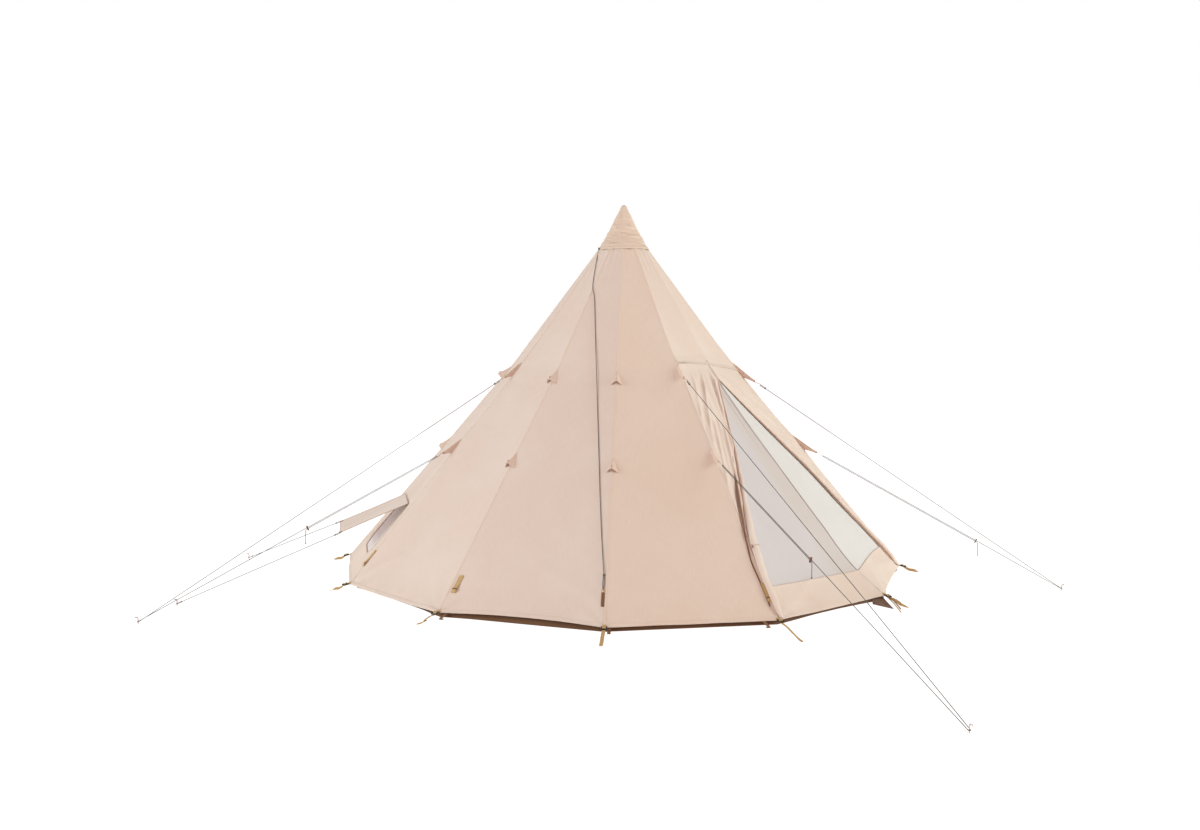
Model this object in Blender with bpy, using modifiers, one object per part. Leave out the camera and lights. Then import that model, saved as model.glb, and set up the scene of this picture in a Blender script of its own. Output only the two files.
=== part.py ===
"""Twelve-sided canvas tipi tent on one centre pole, guyed out from four of its seams.

Z is up and the ground is at z = 0, with the pole at x = y = 0. The door faces -Y.
A direction is an angle around the pole in degrees: 0 is the middle of the door, and it
grows towards +X. The twelve seams stand at every 30 degrees.
"""
from math import asin, atan, cos, degrees, pi, radians, sin, sqrt, tan

import bmesh
import bpy
from mathutils import Matrix, Vector

# The canvas: radius and height of each seam from its hem corner to the crown
SIDES = 12
SEAM_STEP = 360 / SIDES
CORNER_RADIUS = 2.0
HEM_HEIGHT = 0.030
UPPER_TAB_HEIGHT = 1.449
UPPER_TAB_RADIUS = 0.791
CAP_RIM_HEIGHT = 2.271
CANVAS_RADIUS_AT_CAP = 0.1787
CROWN_OPENING_RADIUS = 0.045
ROOF_SLOPE = (UPPER_TAB_RADIUS - CANVAS_RADIUS_AT_CAP) / (CAP_RIM_HEIGHT - UPPER_TAB_HEIGHT)
CROWN_HEIGHT = UPPER_TAB_HEIGHT + (UPPER_TAB_RADIUS - CROWN_OPENING_RADIUS) / ROOF_SLOPE
MEAN_SLOPE = (CORNER_RADIUS - CANVAS_RADIUS_AT_CAP) / (CAP_RIM_HEIGHT - HEM_HEIGHT)
SEAM_PROFILE = [
    (CORNER_RADIUS, HEM_HEIGHT),
    (UPPER_TAB_RADIUS, UPPER_TAB_HEIGHT),
    (CROWN_OPENING_RADIUS, CROWN_HEIGHT),
]
HEM_RISE = 0.026          # the hem is cut as a shallow arch between its corners
HEM_COLUMNS = 8
CANVAS_THICKNESS = 0.002
SEAM_INSET = 0.0008       # each panel stops this far short of the seam's centre line
GAP = 0.0004              # clear gap between pieces that touch on the real tent
CUTTER_DEPTH = 0.020      # how far a hole's cutter runs through cloth

# The door: both halves open from the sill to the yoke and meet on the slack centre seam
SILL_HEIGHT = 0.20
YOKE_HEIGHT = 1.42
DOOR_STRIP = 0.040        # canvas left standing beside each guyed seam
DOOR_STRIP_SHARE = 0.25   # and the most of the panel's width that it takes near the crown
DOOR_COLUMNS = 6
DOOR_SAG = [(HEM_HEIGHT, 0.0), (0.17, 0.070), (0.45, 0.088), (0.8, 0.096), (1.1, 0.098),
            (YOKE_HEIGHT, 0.080), (CAP_RIM_HEIGHT, 0.0), (CROWN_HEIGHT, 0.0)]
DOOR_ROWS = [0.17, SILL_HEIGHT, 0.325, 0.45, 0.625, 0.8, 0.95, 1.1, 1.26, YOKE_HEIGHT]
ROOF_ROWS = [UPPER_TAB_HEIGHT, 1.72, 2.0, CAP_RIM_HEIGHT, CROWN_HEIGHT]
MESH_THICKNESS = 0.0012

# Tied-back door flaps: width from the seam and bulk above the door, by height
FLAP_SEAM_MARGIN = 0.012
FLAP_WIDTHS = [(0.06, 0.042), (0.20, 0.050), (0.33, 0.068), (0.47, 0.095), (0.63, 0.135),
               (0.80, 0.180), (1.02, 0.255), (1.26, 0.345), (YOKE_HEIGHT - 0.004, 0.385)]
FLAP_BULK = [(0.06, 0.024), (0.33, 0.032), (0.63, 0.034), (1.02, 0.026), (1.26, 0.018),
             (YOKE_HEIGHT - 0.004, 0.012)]
FLAP_CLEARANCE = 0.0009
FLAP_EDGE_SHARE = 0.25    # thickness of a flap's edges as a share of its bulk
FLAP_ARCH_POINTS = 7

# The window in the panel beside the back left guy, and its propped awning
WINDOW_PANEL = -135
WINDOW_WIDTH = 0.50
WINDOW_TOP = 0.495
WINDOW_BOTTOM = 0.175
WINDOW_CORNER = 0.10
AWNING_HINGE_HEIGHT = 0.515
AWNING_LENGTH = 0.50
AWNING_DROOP = 22.5       # degrees below the horizontal
AWNING_THICKNESS = 0.003

# The vent cap: outer profile as radius and drop below its tip
CAP_TIP_HEIGHT = 2.589
CAP_PROFILE = [(0.0, 0.0), (0.009, 0.002), (0.019, 0.012), (0.032, 0.040), (0.054, 0.081),
               (0.080, 0.134), (0.108, 0.192), (0.145, 0.256), (0.183, 0.318)]
CAP_THICKNESS = 0.002
CAP_CROWN_RADIUS = 0.02   # inside this radius the cap's inner face lies under its outer one
CAP_STEPS = 36

# The pole stands on the groundsheet in two sections
POLE_RADIUS = 0.016
POLE_BORE = 0.0145
POLE_JOINT_HEIGHT = 1.30
POLE_SPIGOT_LENGTH = 0.12
POLE_FOOT_RADIUS = 0.028
POLE_FOOT_HEIGHT = 0.030
POLE_FOOT_TAPER = 0.012
SPIGOT_WALL = 0.0015
CROWN_RADIUS = 0.0428
CROWN_DEPTH = 0.016
CROWN_TAPER = 0.010
CROWN_PLAY = 0.0015       # the crown plate stands this far below the canvas's top edge
FINIAL_RADIUS = 0.012
FINIAL_TIP = [(0.0, 0.0), (0.005, 0.002), (0.009, 0.008), (FINIAL_RADIUS, 0.020)]
POLE_STEPS = 24

# The groundsheet is a shallow tray that stands inside the hem
SHEET_THICKNESS = 0.002
TRAY_FLOOR_RADIUS = 1.985
TRAY_RIM_RADIUS = 1.922
TRAY_RIM_HEIGHT = 0.070

# Corner straps: reach is the radius of the far end, swing the direction it is pulled in
STRAP_WIDTH = 0.022
STRAP_THICKNESS = 0.0024
STRAP_TAIL = 0.080        # length that lies flat on the ground
STRAP_LIFT = 0.0003       # clear of the level of the ground
STRAP_RISE = 0.004        # above the hem corner at the buckle
STRAP_SLACK = 0.46        # height of its middle as a share of the height at the buckle
BUCKLE_LENGTH = 0.026
BUCKLE_WIDTH = 0.030
BUCKLE_THICKNESS = 0.008
BUCKLE_RISE = 0.0035      # above the hem corner
BUCKLE_TILT = -12.0
STRAPS = [("door", 0, 2.200, -3.5), ("front_right", 30, 2.120, 28.0), ("right_front", 60, 2.20, 60.0),
          ("right", 90, 2.20, 90.0), ("right_back", 120, 2.140, 119.5), ("back_right", 150, 2.120, 149.0),
          ("back", 180, 2.20, 180.0), ("back_left", -150, 2.112, -149.0),
          ("left_back", -120, 2.131, -119.5), ("left", -90, 2.202, -89.5),
          ("left_front", -60, 2.300, -60.0), ("front_left", -30, 2.375, -32.5)]

# Guys: seam angle, peg angle and radius, reach of the pulled-out tabs from the seam to their
# eyelets, and where the slider sits between hook and peg
GUYS = [("front_left", -30, -35.1, 3.928, 0.105, 0.446), ("front_right", 30, 18.4, 3.011, 0.170, 0.655),
        ("back_left", -120, -112.5, 3.368, 0.130, 0.470), ("back_right", 120, 112.5, 3.368, 0.130, 0.470)]
TAB_CENTRES = (("upper", 1.440), ("lower", 0.922))
TAB_BASE = 0.100          # length of the tab along its seam
TAB_MARGIN = 0.011        # from the eyelet's centre to the end of the tab
TAB_TIP_WIDTH = 0.018
TAB_LAP = 0.0012          # how far the tab's root lies inside the seam's outer line
EYELET_RADIUS = 0.0035
HOOK_WIRE = 0.0016        # wire radius
HOOK_BEND = 0.0075        # radius of both bends, on the wire's centre line
HOOK_SPAN = 0.045         # between the centres of the two bends
HOOK_TURN = 185.0         # degrees that each bend goes round
ROPE_RADIUS = 0.002
KNOT_REACH = 0.038        # from the hook to the knot that closes the rope's loop
KNOT_RADIUS = 0.0058
TAIL_KNOT_RADIUS = 0.0046
KNOT_TILT = 31.0          # a knot's facets are turned off the rope's, so that none run along them
KNOT_TURN = 17.0
KNOT_STRAND = 0.0024      # of a loop's two strands from the knot's middle
TAIL_LENGTH = 0.075       # free tail that hangs under a slider
TAIL_BEND = 0.010
TAIL_START = 0.004
LOOP_STEPS = 8            # steps round the half circle of a rope's loop
PEG_RADIUS = 0.0035
PEG_HEIGHT = 0.042
PEG_BEND = 0.010
PEG_TURN = 150.0          # degrees that its head is bent over
PEG_LOOP_HEIGHT = 0.014   # height at which the rope goes round its peg
SLIDER_LENGTH = 0.030
SLIDER_WIDTH = 0.013
SLIDER_THICKNESS = 0.007

# Awning cords: corner of the awning (-1 towards the back), peg angle and radius
AWNING_CORDS = [("back", -1, -148.2, 2.732), ("front", 1, -119.0, 3.079)]
AWNING_EYELET = 0.016     # from both edges of the awning to the hole in its corner
AWNING_LOOP_START = 0.012 # of the cord's flat run over the awning, from the hole
AWNING_LOOP_OVERHANG = 0.016  # of the loop past the awning's edge
AWNING_KNOT_REACH = 0.020
AWNING_PEG_KNOT_REACH = 0.030

# The vent cord runs over the canvas from the cap's rim to the foot of a seam
CORD_TOP_ANGLE = -128
CORD_FOOT_ANGLE = -61
CORD_FOOT_HEIGHT = 0.225
CORD_RADIUS = 0.002
CORD_CLEARANCE = 0.0006
CORD_TOP_RISE = 0.012     # its end sits this far above the cap's rim
CORD_TOP_REACH = 0.020    # and it meets the canvas this far outside the seams' radius there
CORD_POINTS = 36
CORD_SEAMS = (-120, -90)  # the seams that it crosses
SEARCH_STEPS = 400

COLLECTION = "tipi_tent"
CUTTERS = "cutters"

COLOURS = {
    "canvas": ((0.74, 0.60, 0.50, 1), 0.85, 0.0),
    "mesh": ((0.72, 0.70, 0.70, 1), 0.80, 0.0),
    "webbing": ((0.60, 0.40, 0.18, 1), 0.75, 0.0),
    "groundsheet": ((0.13, 0.08, 0.05, 1), 0.60, 0.0),
    "rope": ((0.12, 0.10, 0.09, 1), 0.80, 0.0),
    "steel": ((0.62, 0.58, 0.55, 1), 0.35, 1.0),
    "pole": ((0.60, 0.60, 0.60, 1), 0.40, 1.0),
    "copper": ((0.35, 0.20, 0.12, 1), 0.45, 0.6),
}


def clear_scene():
    """Remove every object, mesh and curve of the scene that is open."""
    for old in list(bpy.data.objects):
        bpy.data.objects.remove(old, do_unlink=True)


def make_collection(name):
    """Make a collection and link it to the scene."""
    collection = bpy.data.collections.new(name)
    bpy.context.scene.collection.children.link(collection)
    return collection


def make_material(name, look):
    """Make a Principled material from one of the named looks."""
    colour, roughness, metallic = COLOURS[look]
    material = bpy.data.materials.new(name)
    material.use_nodes = True
    shader = material.node_tree.nodes["Principled BSDF"]
    shader.inputs["Base Color"].default_value = colour
    shader.inputs["Roughness"].default_value = roughness
    shader.inputs["Metallic"].default_value = metallic
    return material


def link(obj, look=None):
    """Put a part in the tent's collection with its own material, or a guide among the cutters."""
    if look is None:
        bpy.data.collections[CUTTERS].objects.link(obj)
        obj.hide_render = True
        obj.display_type = "WIRE"
    else:
        bpy.data.collections[COLLECTION].objects.link(obj)
        if not obj.data.materials:
            obj.data.materials.append(None)
        obj.material_slots[0].link = "OBJECT"
        obj.material_slots[0].material = make_material(obj.name, look)
    return obj


def direction(degrees):
    """Level unit vector away from the pole in a direction."""
    return Vector((sin(radians(degrees)), -cos(radians(degrees)), 0))


def interpolate(table, x):
    """Read a table of (x, value) pairs with straight lines between them."""
    for (x0, v0), (x1, v1) in zip(table, table[1:]):
        if x <= x1:
            return v0 + (v1 - v0) * (x - x0) / (x1 - x0)
    return table[-1][1]


def seam_radius(z):
    """Radius of a taut seam at height z."""
    return interpolate([(height, radius) for radius, height in SEAM_PROFILE], z)


def seam_point(degrees, z):
    """Point of a seam's outer line; the door's centre seam hangs slack, inside the others."""
    slack = interpolate(DOOR_SAG, z) if degrees == 0 else 0.0
    return direction(degrees) * (seam_radius(z) - slack) + Vector((0, 0, z))


def panel_point(left, right, t, z):
    """Point of the panel between two seams: t runs from 0 at the left seam to 1 at the right."""
    return seam_point(left, z).lerp(seam_point(right, z), t)


def panel_normal(left, right, t, z):
    """Outward normal of the panel between two seams."""
    step = 0.002
    across = seam_point(right, z) - seam_point(left, z)
    up = panel_point(left, right, t, z + step) - panel_point(left, right, t, z - step)
    return across.cross(up).normalized()


def panel_width(left, right, z):
    """Width of a panel between its seams' outer lines at height z."""
    return (seam_point(right, z) - seam_point(left, z)).length


def mesh_object(name, bm, look=None):
    """Turn a bmesh into a linked object with its normals pointing out."""
    bmesh.ops.recalc_face_normals(bm, faces=bm.faces)
    mesh = bpy.data.meshes.new(name)
    bm.to_mesh(mesh)
    bm.free()
    return link(bpy.data.objects.new(name, mesh), look)


def add_solidify(obj, thickness, offset):
    """Thicken an open surface; an offset of -1 grows it inwards, 0 both ways."""
    solidify = obj.modifiers.new("thickness", "SOLIDIFY")
    solidify.thickness = thickness
    solidify.offset = offset


def sheet_object(name, rows, look, thickness, offset=-1.0, keep=None):
    """Make a cloth sheet from rows of points, with the cells for which keep(row, column) holds."""
    bm = bmesh.new()
    grid = [[bm.verts.new(point) for point in row] for row in rows]
    for j, (low, high) in enumerate(zip(grid, grid[1:])):
        for i in range(len(low) - 1):
            if keep is None or keep(j, i):
                bm.faces.new((low[i], low[i + 1], high[i + 1], high[i]))
    loose = [v for v in bm.verts if not v.link_faces]
    bmesh.ops.delete(bm, geom=loose, context="VERTS")
    mesh = bpy.data.meshes.new(name)
    bm.to_mesh(mesh)
    bm.free()
    obj = link(bpy.data.objects.new(name, mesh), look)
    add_solidify(obj, thickness, offset)
    return obj


def loft_object(name, rings, look=None):
    """Close a stack of rings with the same number of points into one body."""
    bm = bmesh.new()
    loops = [[bm.verts.new(point) for point in ring] for ring in rings]
    count = len(loops[0])
    for low, high in zip(loops, loops[1:]):
        for i in range(count):
            j = (i + 1) % count
            bm.faces.new((low[i], low[j], high[j], high[i]))
    bm.faces.new(reversed(loops[0]))
    bm.faces.new(loops[-1])
    return mesh_object(name, bm, look)


def turned_object(name, profile, look, steps):
    """Turn a profile of (radius, height) points, down its outer side, around the pole's axis."""
    bm = bmesh.new()
    verts = [bm.verts.new((r, 0, z)) for r, z in profile]
    for a, b in zip(verts, verts[1:]):
        bm.edges.new((a, b))
    mesh = bpy.data.meshes.new(name)
    bm.to_mesh(mesh)
    bm.free()
    obj = link(bpy.data.objects.new(name, mesh), look)
    screw = obj.modifiers.new("turn", "SCREW")
    screw.steps = screw.render_steps = steps
    screw.use_merge_vertices = True
    screw.merge_threshold = 0.00005
    screw.use_normal_calculate = False
    return obj


def tube_curve(name, points, radius, look=None, resolution=2):
    """Make a round tube with closed ends along a line of points."""
    curve = bpy.data.curves.new(name, "CURVE")
    curve.dimensions = "3D"
    curve.bevel_depth = radius
    curve.bevel_resolution = resolution
    curve.use_fill_caps = True
    spline = curve.splines.new("POLY")
    spline.points.add(len(points) - 1)
    for target, point in zip(spline.points, points):
        target.co = (*point, 1)
    return link(bpy.data.objects.new(name, curve), look)


def plate_curve(name, outline, thickness, matrix, look=None):
    """Make a flat plate from a 2D outline, centred on its own plane."""
    curve = bpy.data.curves.new(name, "CURVE")
    curve.dimensions = "2D"
    curve.fill_mode = "BOTH"
    curve.extrude = thickness / 2
    spline = curve.splines.new("POLY")
    spline.points.add(len(outline) - 1)
    for target, (x, y) in zip(spline.points, outline):
        target.co = (x, y, 0, 1)
    spline.use_cyclic_u = True
    obj = link(bpy.data.objects.new(name, curve), look)
    obj.matrix_world = matrix
    return obj


def curve_to_mesh(curve_object, look=None):
    """Replace a curve object by the same shape as a welded mesh."""
    bpy.context.view_layer.update()
    graph = bpy.context.evaluated_depsgraph_get()
    mesh = bpy.data.meshes.new_from_object(curve_object.evaluated_get(graph))
    bm = bmesh.new()
    bm.from_mesh(mesh)
    bmesh.ops.remove_doubles(bm, verts=bm.verts, dist=0.00001)
    bmesh.ops.recalc_face_normals(bm, faces=bm.faces)
    bm.to_mesh(mesh)
    bm.free()
    mesh.materials.clear()
    name = curve_object.name
    matrix = curve_object.matrix_world.copy()
    bpy.data.objects.remove(curve_object, do_unlink=True)
    obj = bpy.data.objects.new(name, mesh)
    obj.name = name
    link(obj, look)
    obj.matrix_world = matrix
    return obj


def add_boolean(obj, other, operation):
    """Cut with or join to another object."""
    boolean = obj.modifiers.new(operation.lower(), "BOOLEAN")
    boolean.operation = operation
    boolean.object = other


def ball(name, centre, radius):
    """Small knot, as a low sphere among the guides."""
    bm = bmesh.new()
    bmesh.ops.create_uvsphere(bm, u_segments=10, v_segments=6, radius=radius)
    obj = mesh_object(name, bm)
    obj.location = centre
    obj.rotation_euler = (radians(KNOT_TILT), 0, radians(KNOT_TURN))
    return obj


def rod_cutter(name, centre, axis, radius, length, segments=12):
    """Straight round cutter centred on a point."""
    bm = bmesh.new()
    bmesh.ops.create_cone(bm, cap_ends=True, segments=segments, radius1=radius,
                          radius2=radius, depth=length)
    obj = mesh_object(name, bm)
    obj.matrix_world = Matrix.Translation(centre) @ axis.to_track_quat("Z", "Y").to_matrix().to_4x4()
    return obj


def frame_matrix(origin, x_axis, y_axis):
    """Placement whose X and Y point along two directions at right angles."""
    x = x_axis.normalized()
    z = x.cross(y_axis).normalized()
    y = z.cross(x)
    return Matrix.Translation(origin) @ Matrix((x, y, z)).transposed().to_4x4()


def smooth(obj):
    """Shade a round mesh smooth, keeping its real edges sharp."""
    obj.data.shade_smooth()
    obj.data.set_sharp_from_angle(angle=radians(40))


def plain_panel_rows(left, right):
    """Rows of a plain panel: arched hem, bend at the upper tabs, crown."""
    columns = [i / HEM_COLUMNS for i in range(HEM_COLUMNS + 1)]
    rows = []
    for level, z in enumerate([HEM_HEIGHT, UPPER_TAB_HEIGHT, CROWN_HEIGHT]):
        inset = SEAM_INSET / panel_width(left, right, z)
        row = []
        for t in columns:
            height = z + HEM_RISE * 4 * t * (1 - t) if level == 0 else z
            row.append(panel_point(left, right, inset + t * (1 - 2 * inset), height))
        rows.append(row)
    return rows


def make_canvas_panels():
    """The ten panels that have no door: nine plain ones and the one with the window."""
    half = SEAM_STEP / 2
    rows = plain_panel_rows(-half, half)
    panels = {}
    names = {45: "canvas_front_right", 75: "canvas_right_front", 105: "canvas_right_back",
             135: "canvas_back_right", 165: "canvas_rear_right", -165: "canvas_rear_left",
             -135: "canvas_window_panel", -105: "canvas_left_back", -75: "canvas_left_front",
             -45: "canvas_front_left"}
    for angle, name in names.items():
        panel = sheet_object(name, rows, "canvas", CANVAS_THICKNESS)
        panel.rotation_euler.z = radians(angle)
        panels[angle] = panel
    return panels


def door_columns(z, hem):
    """Parameters across the left half of the door at one height, from the guyed seam."""
    width = panel_width(-SEAM_STEP, 0, z)
    inset = SEAM_INSET / width
    strip = min(DOOR_STRIP / width, DOOR_STRIP_SHARE)
    rest = [strip + (1 - inset - strip) * i / DOOR_COLUMNS for i in range(DOOR_COLUMNS + 1)]
    columns = [inset] + rest
    heights = [z + HEM_RISE * 4 * t * (1 - t) if hem else z for t in columns]
    return list(zip(columns, heights))


def mirrored(points):
    """The same points on the other side of the door's centre line."""
    return [Vector((-p.x, p.y, p.z)) for p in points]


def make_door_canvas():
    """The two door panels: sill below, a strip up the guyed seam and the yoke above.

    Returns the right one, which carries the tabs of the front right guy.
    """
    levels = [HEM_HEIGHT] + DOOR_ROWS + ROOF_ROWS
    first_open = levels.index(SILL_HEIGHT)
    last_open = levels.index(YOKE_HEIGHT)
    rows = []
    for z in levels:
        points = [panel_point(-SEAM_STEP, 0, t, h) for t, h in door_columns(z, z == HEM_HEIGHT)]
        rows.append(points)

    def is_canvas(row, column):
        return column == 0 or row < first_open or row >= last_open

    sheet_object("canvas_door_left", rows, "canvas", CANVAS_THICKNESS, keep=is_canvas)
    right_rows = [list(reversed(mirrored(row))) for row in rows]
    last = DOOR_COLUMNS
    return sheet_object("canvas_door_right", right_rows, "canvas", CANVAS_THICKNESS,
                        keep=lambda row, column: is_canvas(row, last - column))


def make_door_mesh():
    """Insect mesh that closes each half of the doorway, edge to edge with the canvas."""
    levels = [z for z in DOOR_ROWS if SILL_HEIGHT <= z <= YOKE_HEIGHT]
    depth = (CANVAS_THICKNESS - MESH_THICKNESS) / 2
    rows = []
    for z in levels:
        height = min(max(z, SILL_HEIGHT + GAP), YOKE_HEIGHT - GAP)
        inset = GAP / panel_width(-SEAM_STEP, 0, height)
        columns = [t for t, _ in door_columns(height, False)][1:]
        columns[0] += inset
        normal = panel_normal(-SEAM_STEP, 0, 0.5, height)
        rows.append([panel_point(-SEAM_STEP, 0, t, height) - normal * depth for t in columns])
    sheet_object("door_mesh_left", rows, "mesh", MESH_THICKNESS)
    right_rows = [list(reversed(mirrored(row))) for row in rows]
    sheet_object("door_mesh_right", right_rows, "mesh", MESH_THICKNESS)


def make_door_flaps():
    """The two canvas flaps, gathered under the yoke and tied back along the guyed seams."""
    stations = [i / FLAP_ARCH_POINTS for i in range(FLAP_ARCH_POINTS + 1)]
    rings = []
    for z, width in FLAP_WIDTHS:
        span = panel_width(-SEAM_STEP, 0, z)
        bulk = interpolate(FLAP_BULK, z)
        inner, outer = [], []
        for u in stations:
            t = (FLAP_SEAM_MARGIN + (width - FLAP_SEAM_MARGIN) * u) / span
            arch = sqrt(max(0.0, sin(pi * u)))
            height = bulk * (FLAP_EDGE_SHARE + (1 - FLAP_EDGE_SHARE) * arch)
            wall = panel_point(-SEAM_STEP, 0, t, z)
            normal = panel_normal(-SEAM_STEP, 0, t, z)
            inner.append(wall + normal * FLAP_CLEARANCE)
            outer.append(wall + normal * (FLAP_CLEARANCE + height))
        rings.append(inner + list(reversed(outer)))
    loft_object("door_flap_left", rings, "canvas")
    loft_object("door_flap_right", [mirrored(ring) for ring in rings], "canvas")


def window_frame():
    """Placement on the outer face of the window panel, X along the wall and Y up its slope."""
    left = WINDOW_PANEL - SEAM_STEP / 2
    right = WINDOW_PANEL + SEAM_STEP / 2
    origin = panel_point(left, right, 0.5, (WINDOW_TOP + WINDOW_BOTTOM) / 2)
    up = panel_point(left, right, 0.5, WINDOW_TOP) - panel_point(left, right, 0.5, WINDOW_BOTTOM)
    across = panel_point(left, right, 1, WINDOW_TOP) - panel_point(left, right, 0, WINDOW_TOP)
    return frame_matrix(origin, across, up), up.length


def window_outline(width, height, corner):
    """Outline of the window: square at the top, round at its two lower corners."""
    x, y = width / 2, height / 2
    steps = 6
    outline = [(x, y), (-x, y)]
    for side in (-1, 1):
        for i in range(steps + 1):
            turn = radians(90 * i / steps)
            reach, drop = (cos(turn), sin(turn)) if side < 0 else (sin(turn), cos(turn))
            outline.append((side * (x - corner + corner * reach), -y + corner - corner * drop))
    return outline


def make_window(panels):
    """Cut the window and close it with mesh in the middle of the canvas's thickness."""
    matrix, height = window_frame()
    outline = window_outline(WINDOW_WIDTH, height, WINDOW_CORNER)
    cutter = plate_curve("window_cutter", outline, 10 * CANVAS_THICKNESS, matrix)
    add_boolean(panels[WINDOW_PANEL], curve_to_mesh(cutter), "DIFFERENCE")
    inner = window_outline(WINDOW_WIDTH - 2 * GAP, height - 2 * GAP, WINDOW_CORNER)
    sunk = matrix @ Matrix.Translation((0, 0, -CANVAS_THICKNESS / 2))
    plate_curve("window_mesh", inner, MESH_THICKNESS, sunk, "mesh")


def awning_frame():
    """Placement of the awning: X along its hinge and Y down its slope, at mid thickness."""
    left = WINDOW_PANEL - SEAM_STEP / 2
    right = WINDOW_PANEL + SEAM_STEP / 2
    away = direction(WINDOW_PANEL)
    slope = radians(AWNING_DROOP)
    down = away * cos(slope) - Vector((0, 0, sin(slope)))
    near = panel_point(left, right, 0, AWNING_HINGE_HEIGHT)
    far = panel_point(left, right, 1, AWNING_HINGE_HEIGHT)
    standoff = away * (AWNING_THICKNESS / 2 + 2 * GAP)
    return frame_matrix(near.lerp(far, 0.5) + standoff, far - near, down)


def awning_corner(side):
    """Centre of the eyelet in one outer corner of the awning."""
    x = side * (WINDOW_WIDTH / 2 - AWNING_EYELET)
    return awning_frame() @ Vector((x, AWNING_LENGTH - AWNING_EYELET, 0))


def make_awning():
    """The window's canvas cover, propped out level as an awning."""
    half = WINDOW_WIDTH / 2
    outline = [(-half, 0), (half, 0), (half, AWNING_LENGTH), (-half, AWNING_LENGTH)]
    matrix = awning_frame()
    plate = plate_curve("window_awning", outline, AWNING_THICKNESS, matrix, "canvas")
    awning = curve_to_mesh(plate, "canvas")
    for label, side, _, _ in AWNING_CORDS:
        hole = rod_cutter("awning_eyelet_" + label, awning_corner(side), matrix.to_3x3().col[2],
                          EYELET_RADIUS, 10 * AWNING_THICKNESS)
        add_boolean(awning, hole, "DIFFERENCE")


def make_vent_cap():
    """Open cone over the crown, with a rounded tip."""
    outer = [(r, CAP_TIP_HEIGHT - drop) for r, drop in CAP_PROFILE]
    inner = []
    for r, z in outer:
        sink = CAP_THICKNESS if r < CAP_CROWN_RADIUS else 0.0
        inner.append((max(r - CAP_THICKNESS, 0.0), z - sink))
    cap = turned_object("vent_cap", outer + list(reversed(inner)), "canvas", CAP_STEPS)
    smooth(cap)


def make_pole():
    """Two tube sections; the upper one carries the crown plate and the finial under the cap."""
    base = SHEET_THICKNESS + GAP
    foot_top = base + POLE_FOOT_HEIGHT
    lower = [(0, foot_top), (POLE_BORE, foot_top), (POLE_BORE, POLE_JOINT_HEIGHT),
             (POLE_RADIUS, POLE_JOINT_HEIGHT), (POLE_RADIUS, foot_top + POLE_FOOT_TAPER),
             (POLE_FOOT_RADIUS, foot_top), (POLE_FOOT_RADIUS, base), (0, base)]
    smooth(turned_object("centre_pole_lower", lower, "pole", POLE_STEPS))
    spigot = POLE_BORE - GAP
    crown = CROWN_HEIGHT - CROWN_PLAY
    shoulder = POLE_JOINT_HEIGHT + GAP
    tip = CAP_TIP_HEIGHT - CAP_THICKNESS - 2 * GAP
    bore = spigot - SPIGOT_WALL
    bore_top = crown - CROWN_DEPTH - 2 * CROWN_TAPER
    upper = [(r, tip - drop) for r, drop in FINIAL_TIP]
    upper += [(FINIAL_RADIUS, crown + CROWN_TAPER / 2), (CROWN_RADIUS, crown),
              (CROWN_RADIUS, crown - CROWN_DEPTH), (POLE_RADIUS, crown - CROWN_DEPTH - CROWN_TAPER),
              (POLE_RADIUS, shoulder), (spigot, shoulder), (spigot, shoulder - POLE_SPIGOT_LENGTH),
              (bore, shoulder - POLE_SPIGOT_LENGTH), (bore, bore_top), (0, bore_top)]
    turned_object("centre_pole_upper", upper, "pole", SIDES)


def make_groundsheet():
    """A floor with a low upstand, as a tray with twelve sides."""
    inside = TRAY_FLOOR_RADIUS - SHEET_THICKNESS
    profile = [(0, SHEET_THICKNESS), (inside, SHEET_THICKNESS),
               (TRAY_RIM_RADIUS - SHEET_THICKNESS, TRAY_RIM_HEIGHT), (TRAY_RIM_RADIUS, TRAY_RIM_HEIGHT),
               (TRAY_FLOOR_RADIUS, 0), (0, 0)]
    turned_object("groundsheet", profile, "groundsheet", SIDES)


def strap_outline(start, end):
    """Side view of a strap from its buckle to its end: (distance from the corner, height)."""
    top = HEM_HEIGHT + STRAP_RISE
    bend = max(end - STRAP_TAIL, 0.6 * end)
    run = [(start, top), ((start + bend) / 2, top * STRAP_SLACK), (bend, 0.4 * STRAP_THICKNESS + STRAP_LIFT),
           (bend + 4 * STRAP_THICKNESS, STRAP_LIFT), (end, STRAP_LIFT)]
    upper = [(x, z + STRAP_THICKNESS) for x, z in run]
    return upper + list(reversed(run))


def clear_start(off_axis, width):
    """Distance from the hem corner at which a piece pulled off the corner's axis clears the hem."""
    wall = tan(radians(SEAM_STEP / 2))
    half = width / 2
    reach = half * (sin(off_axis) - cos(off_axis) * wall) / (cos(off_axis) + sin(off_axis) * wall)
    return max(reach, 0.0) + 2 * GAP


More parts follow.
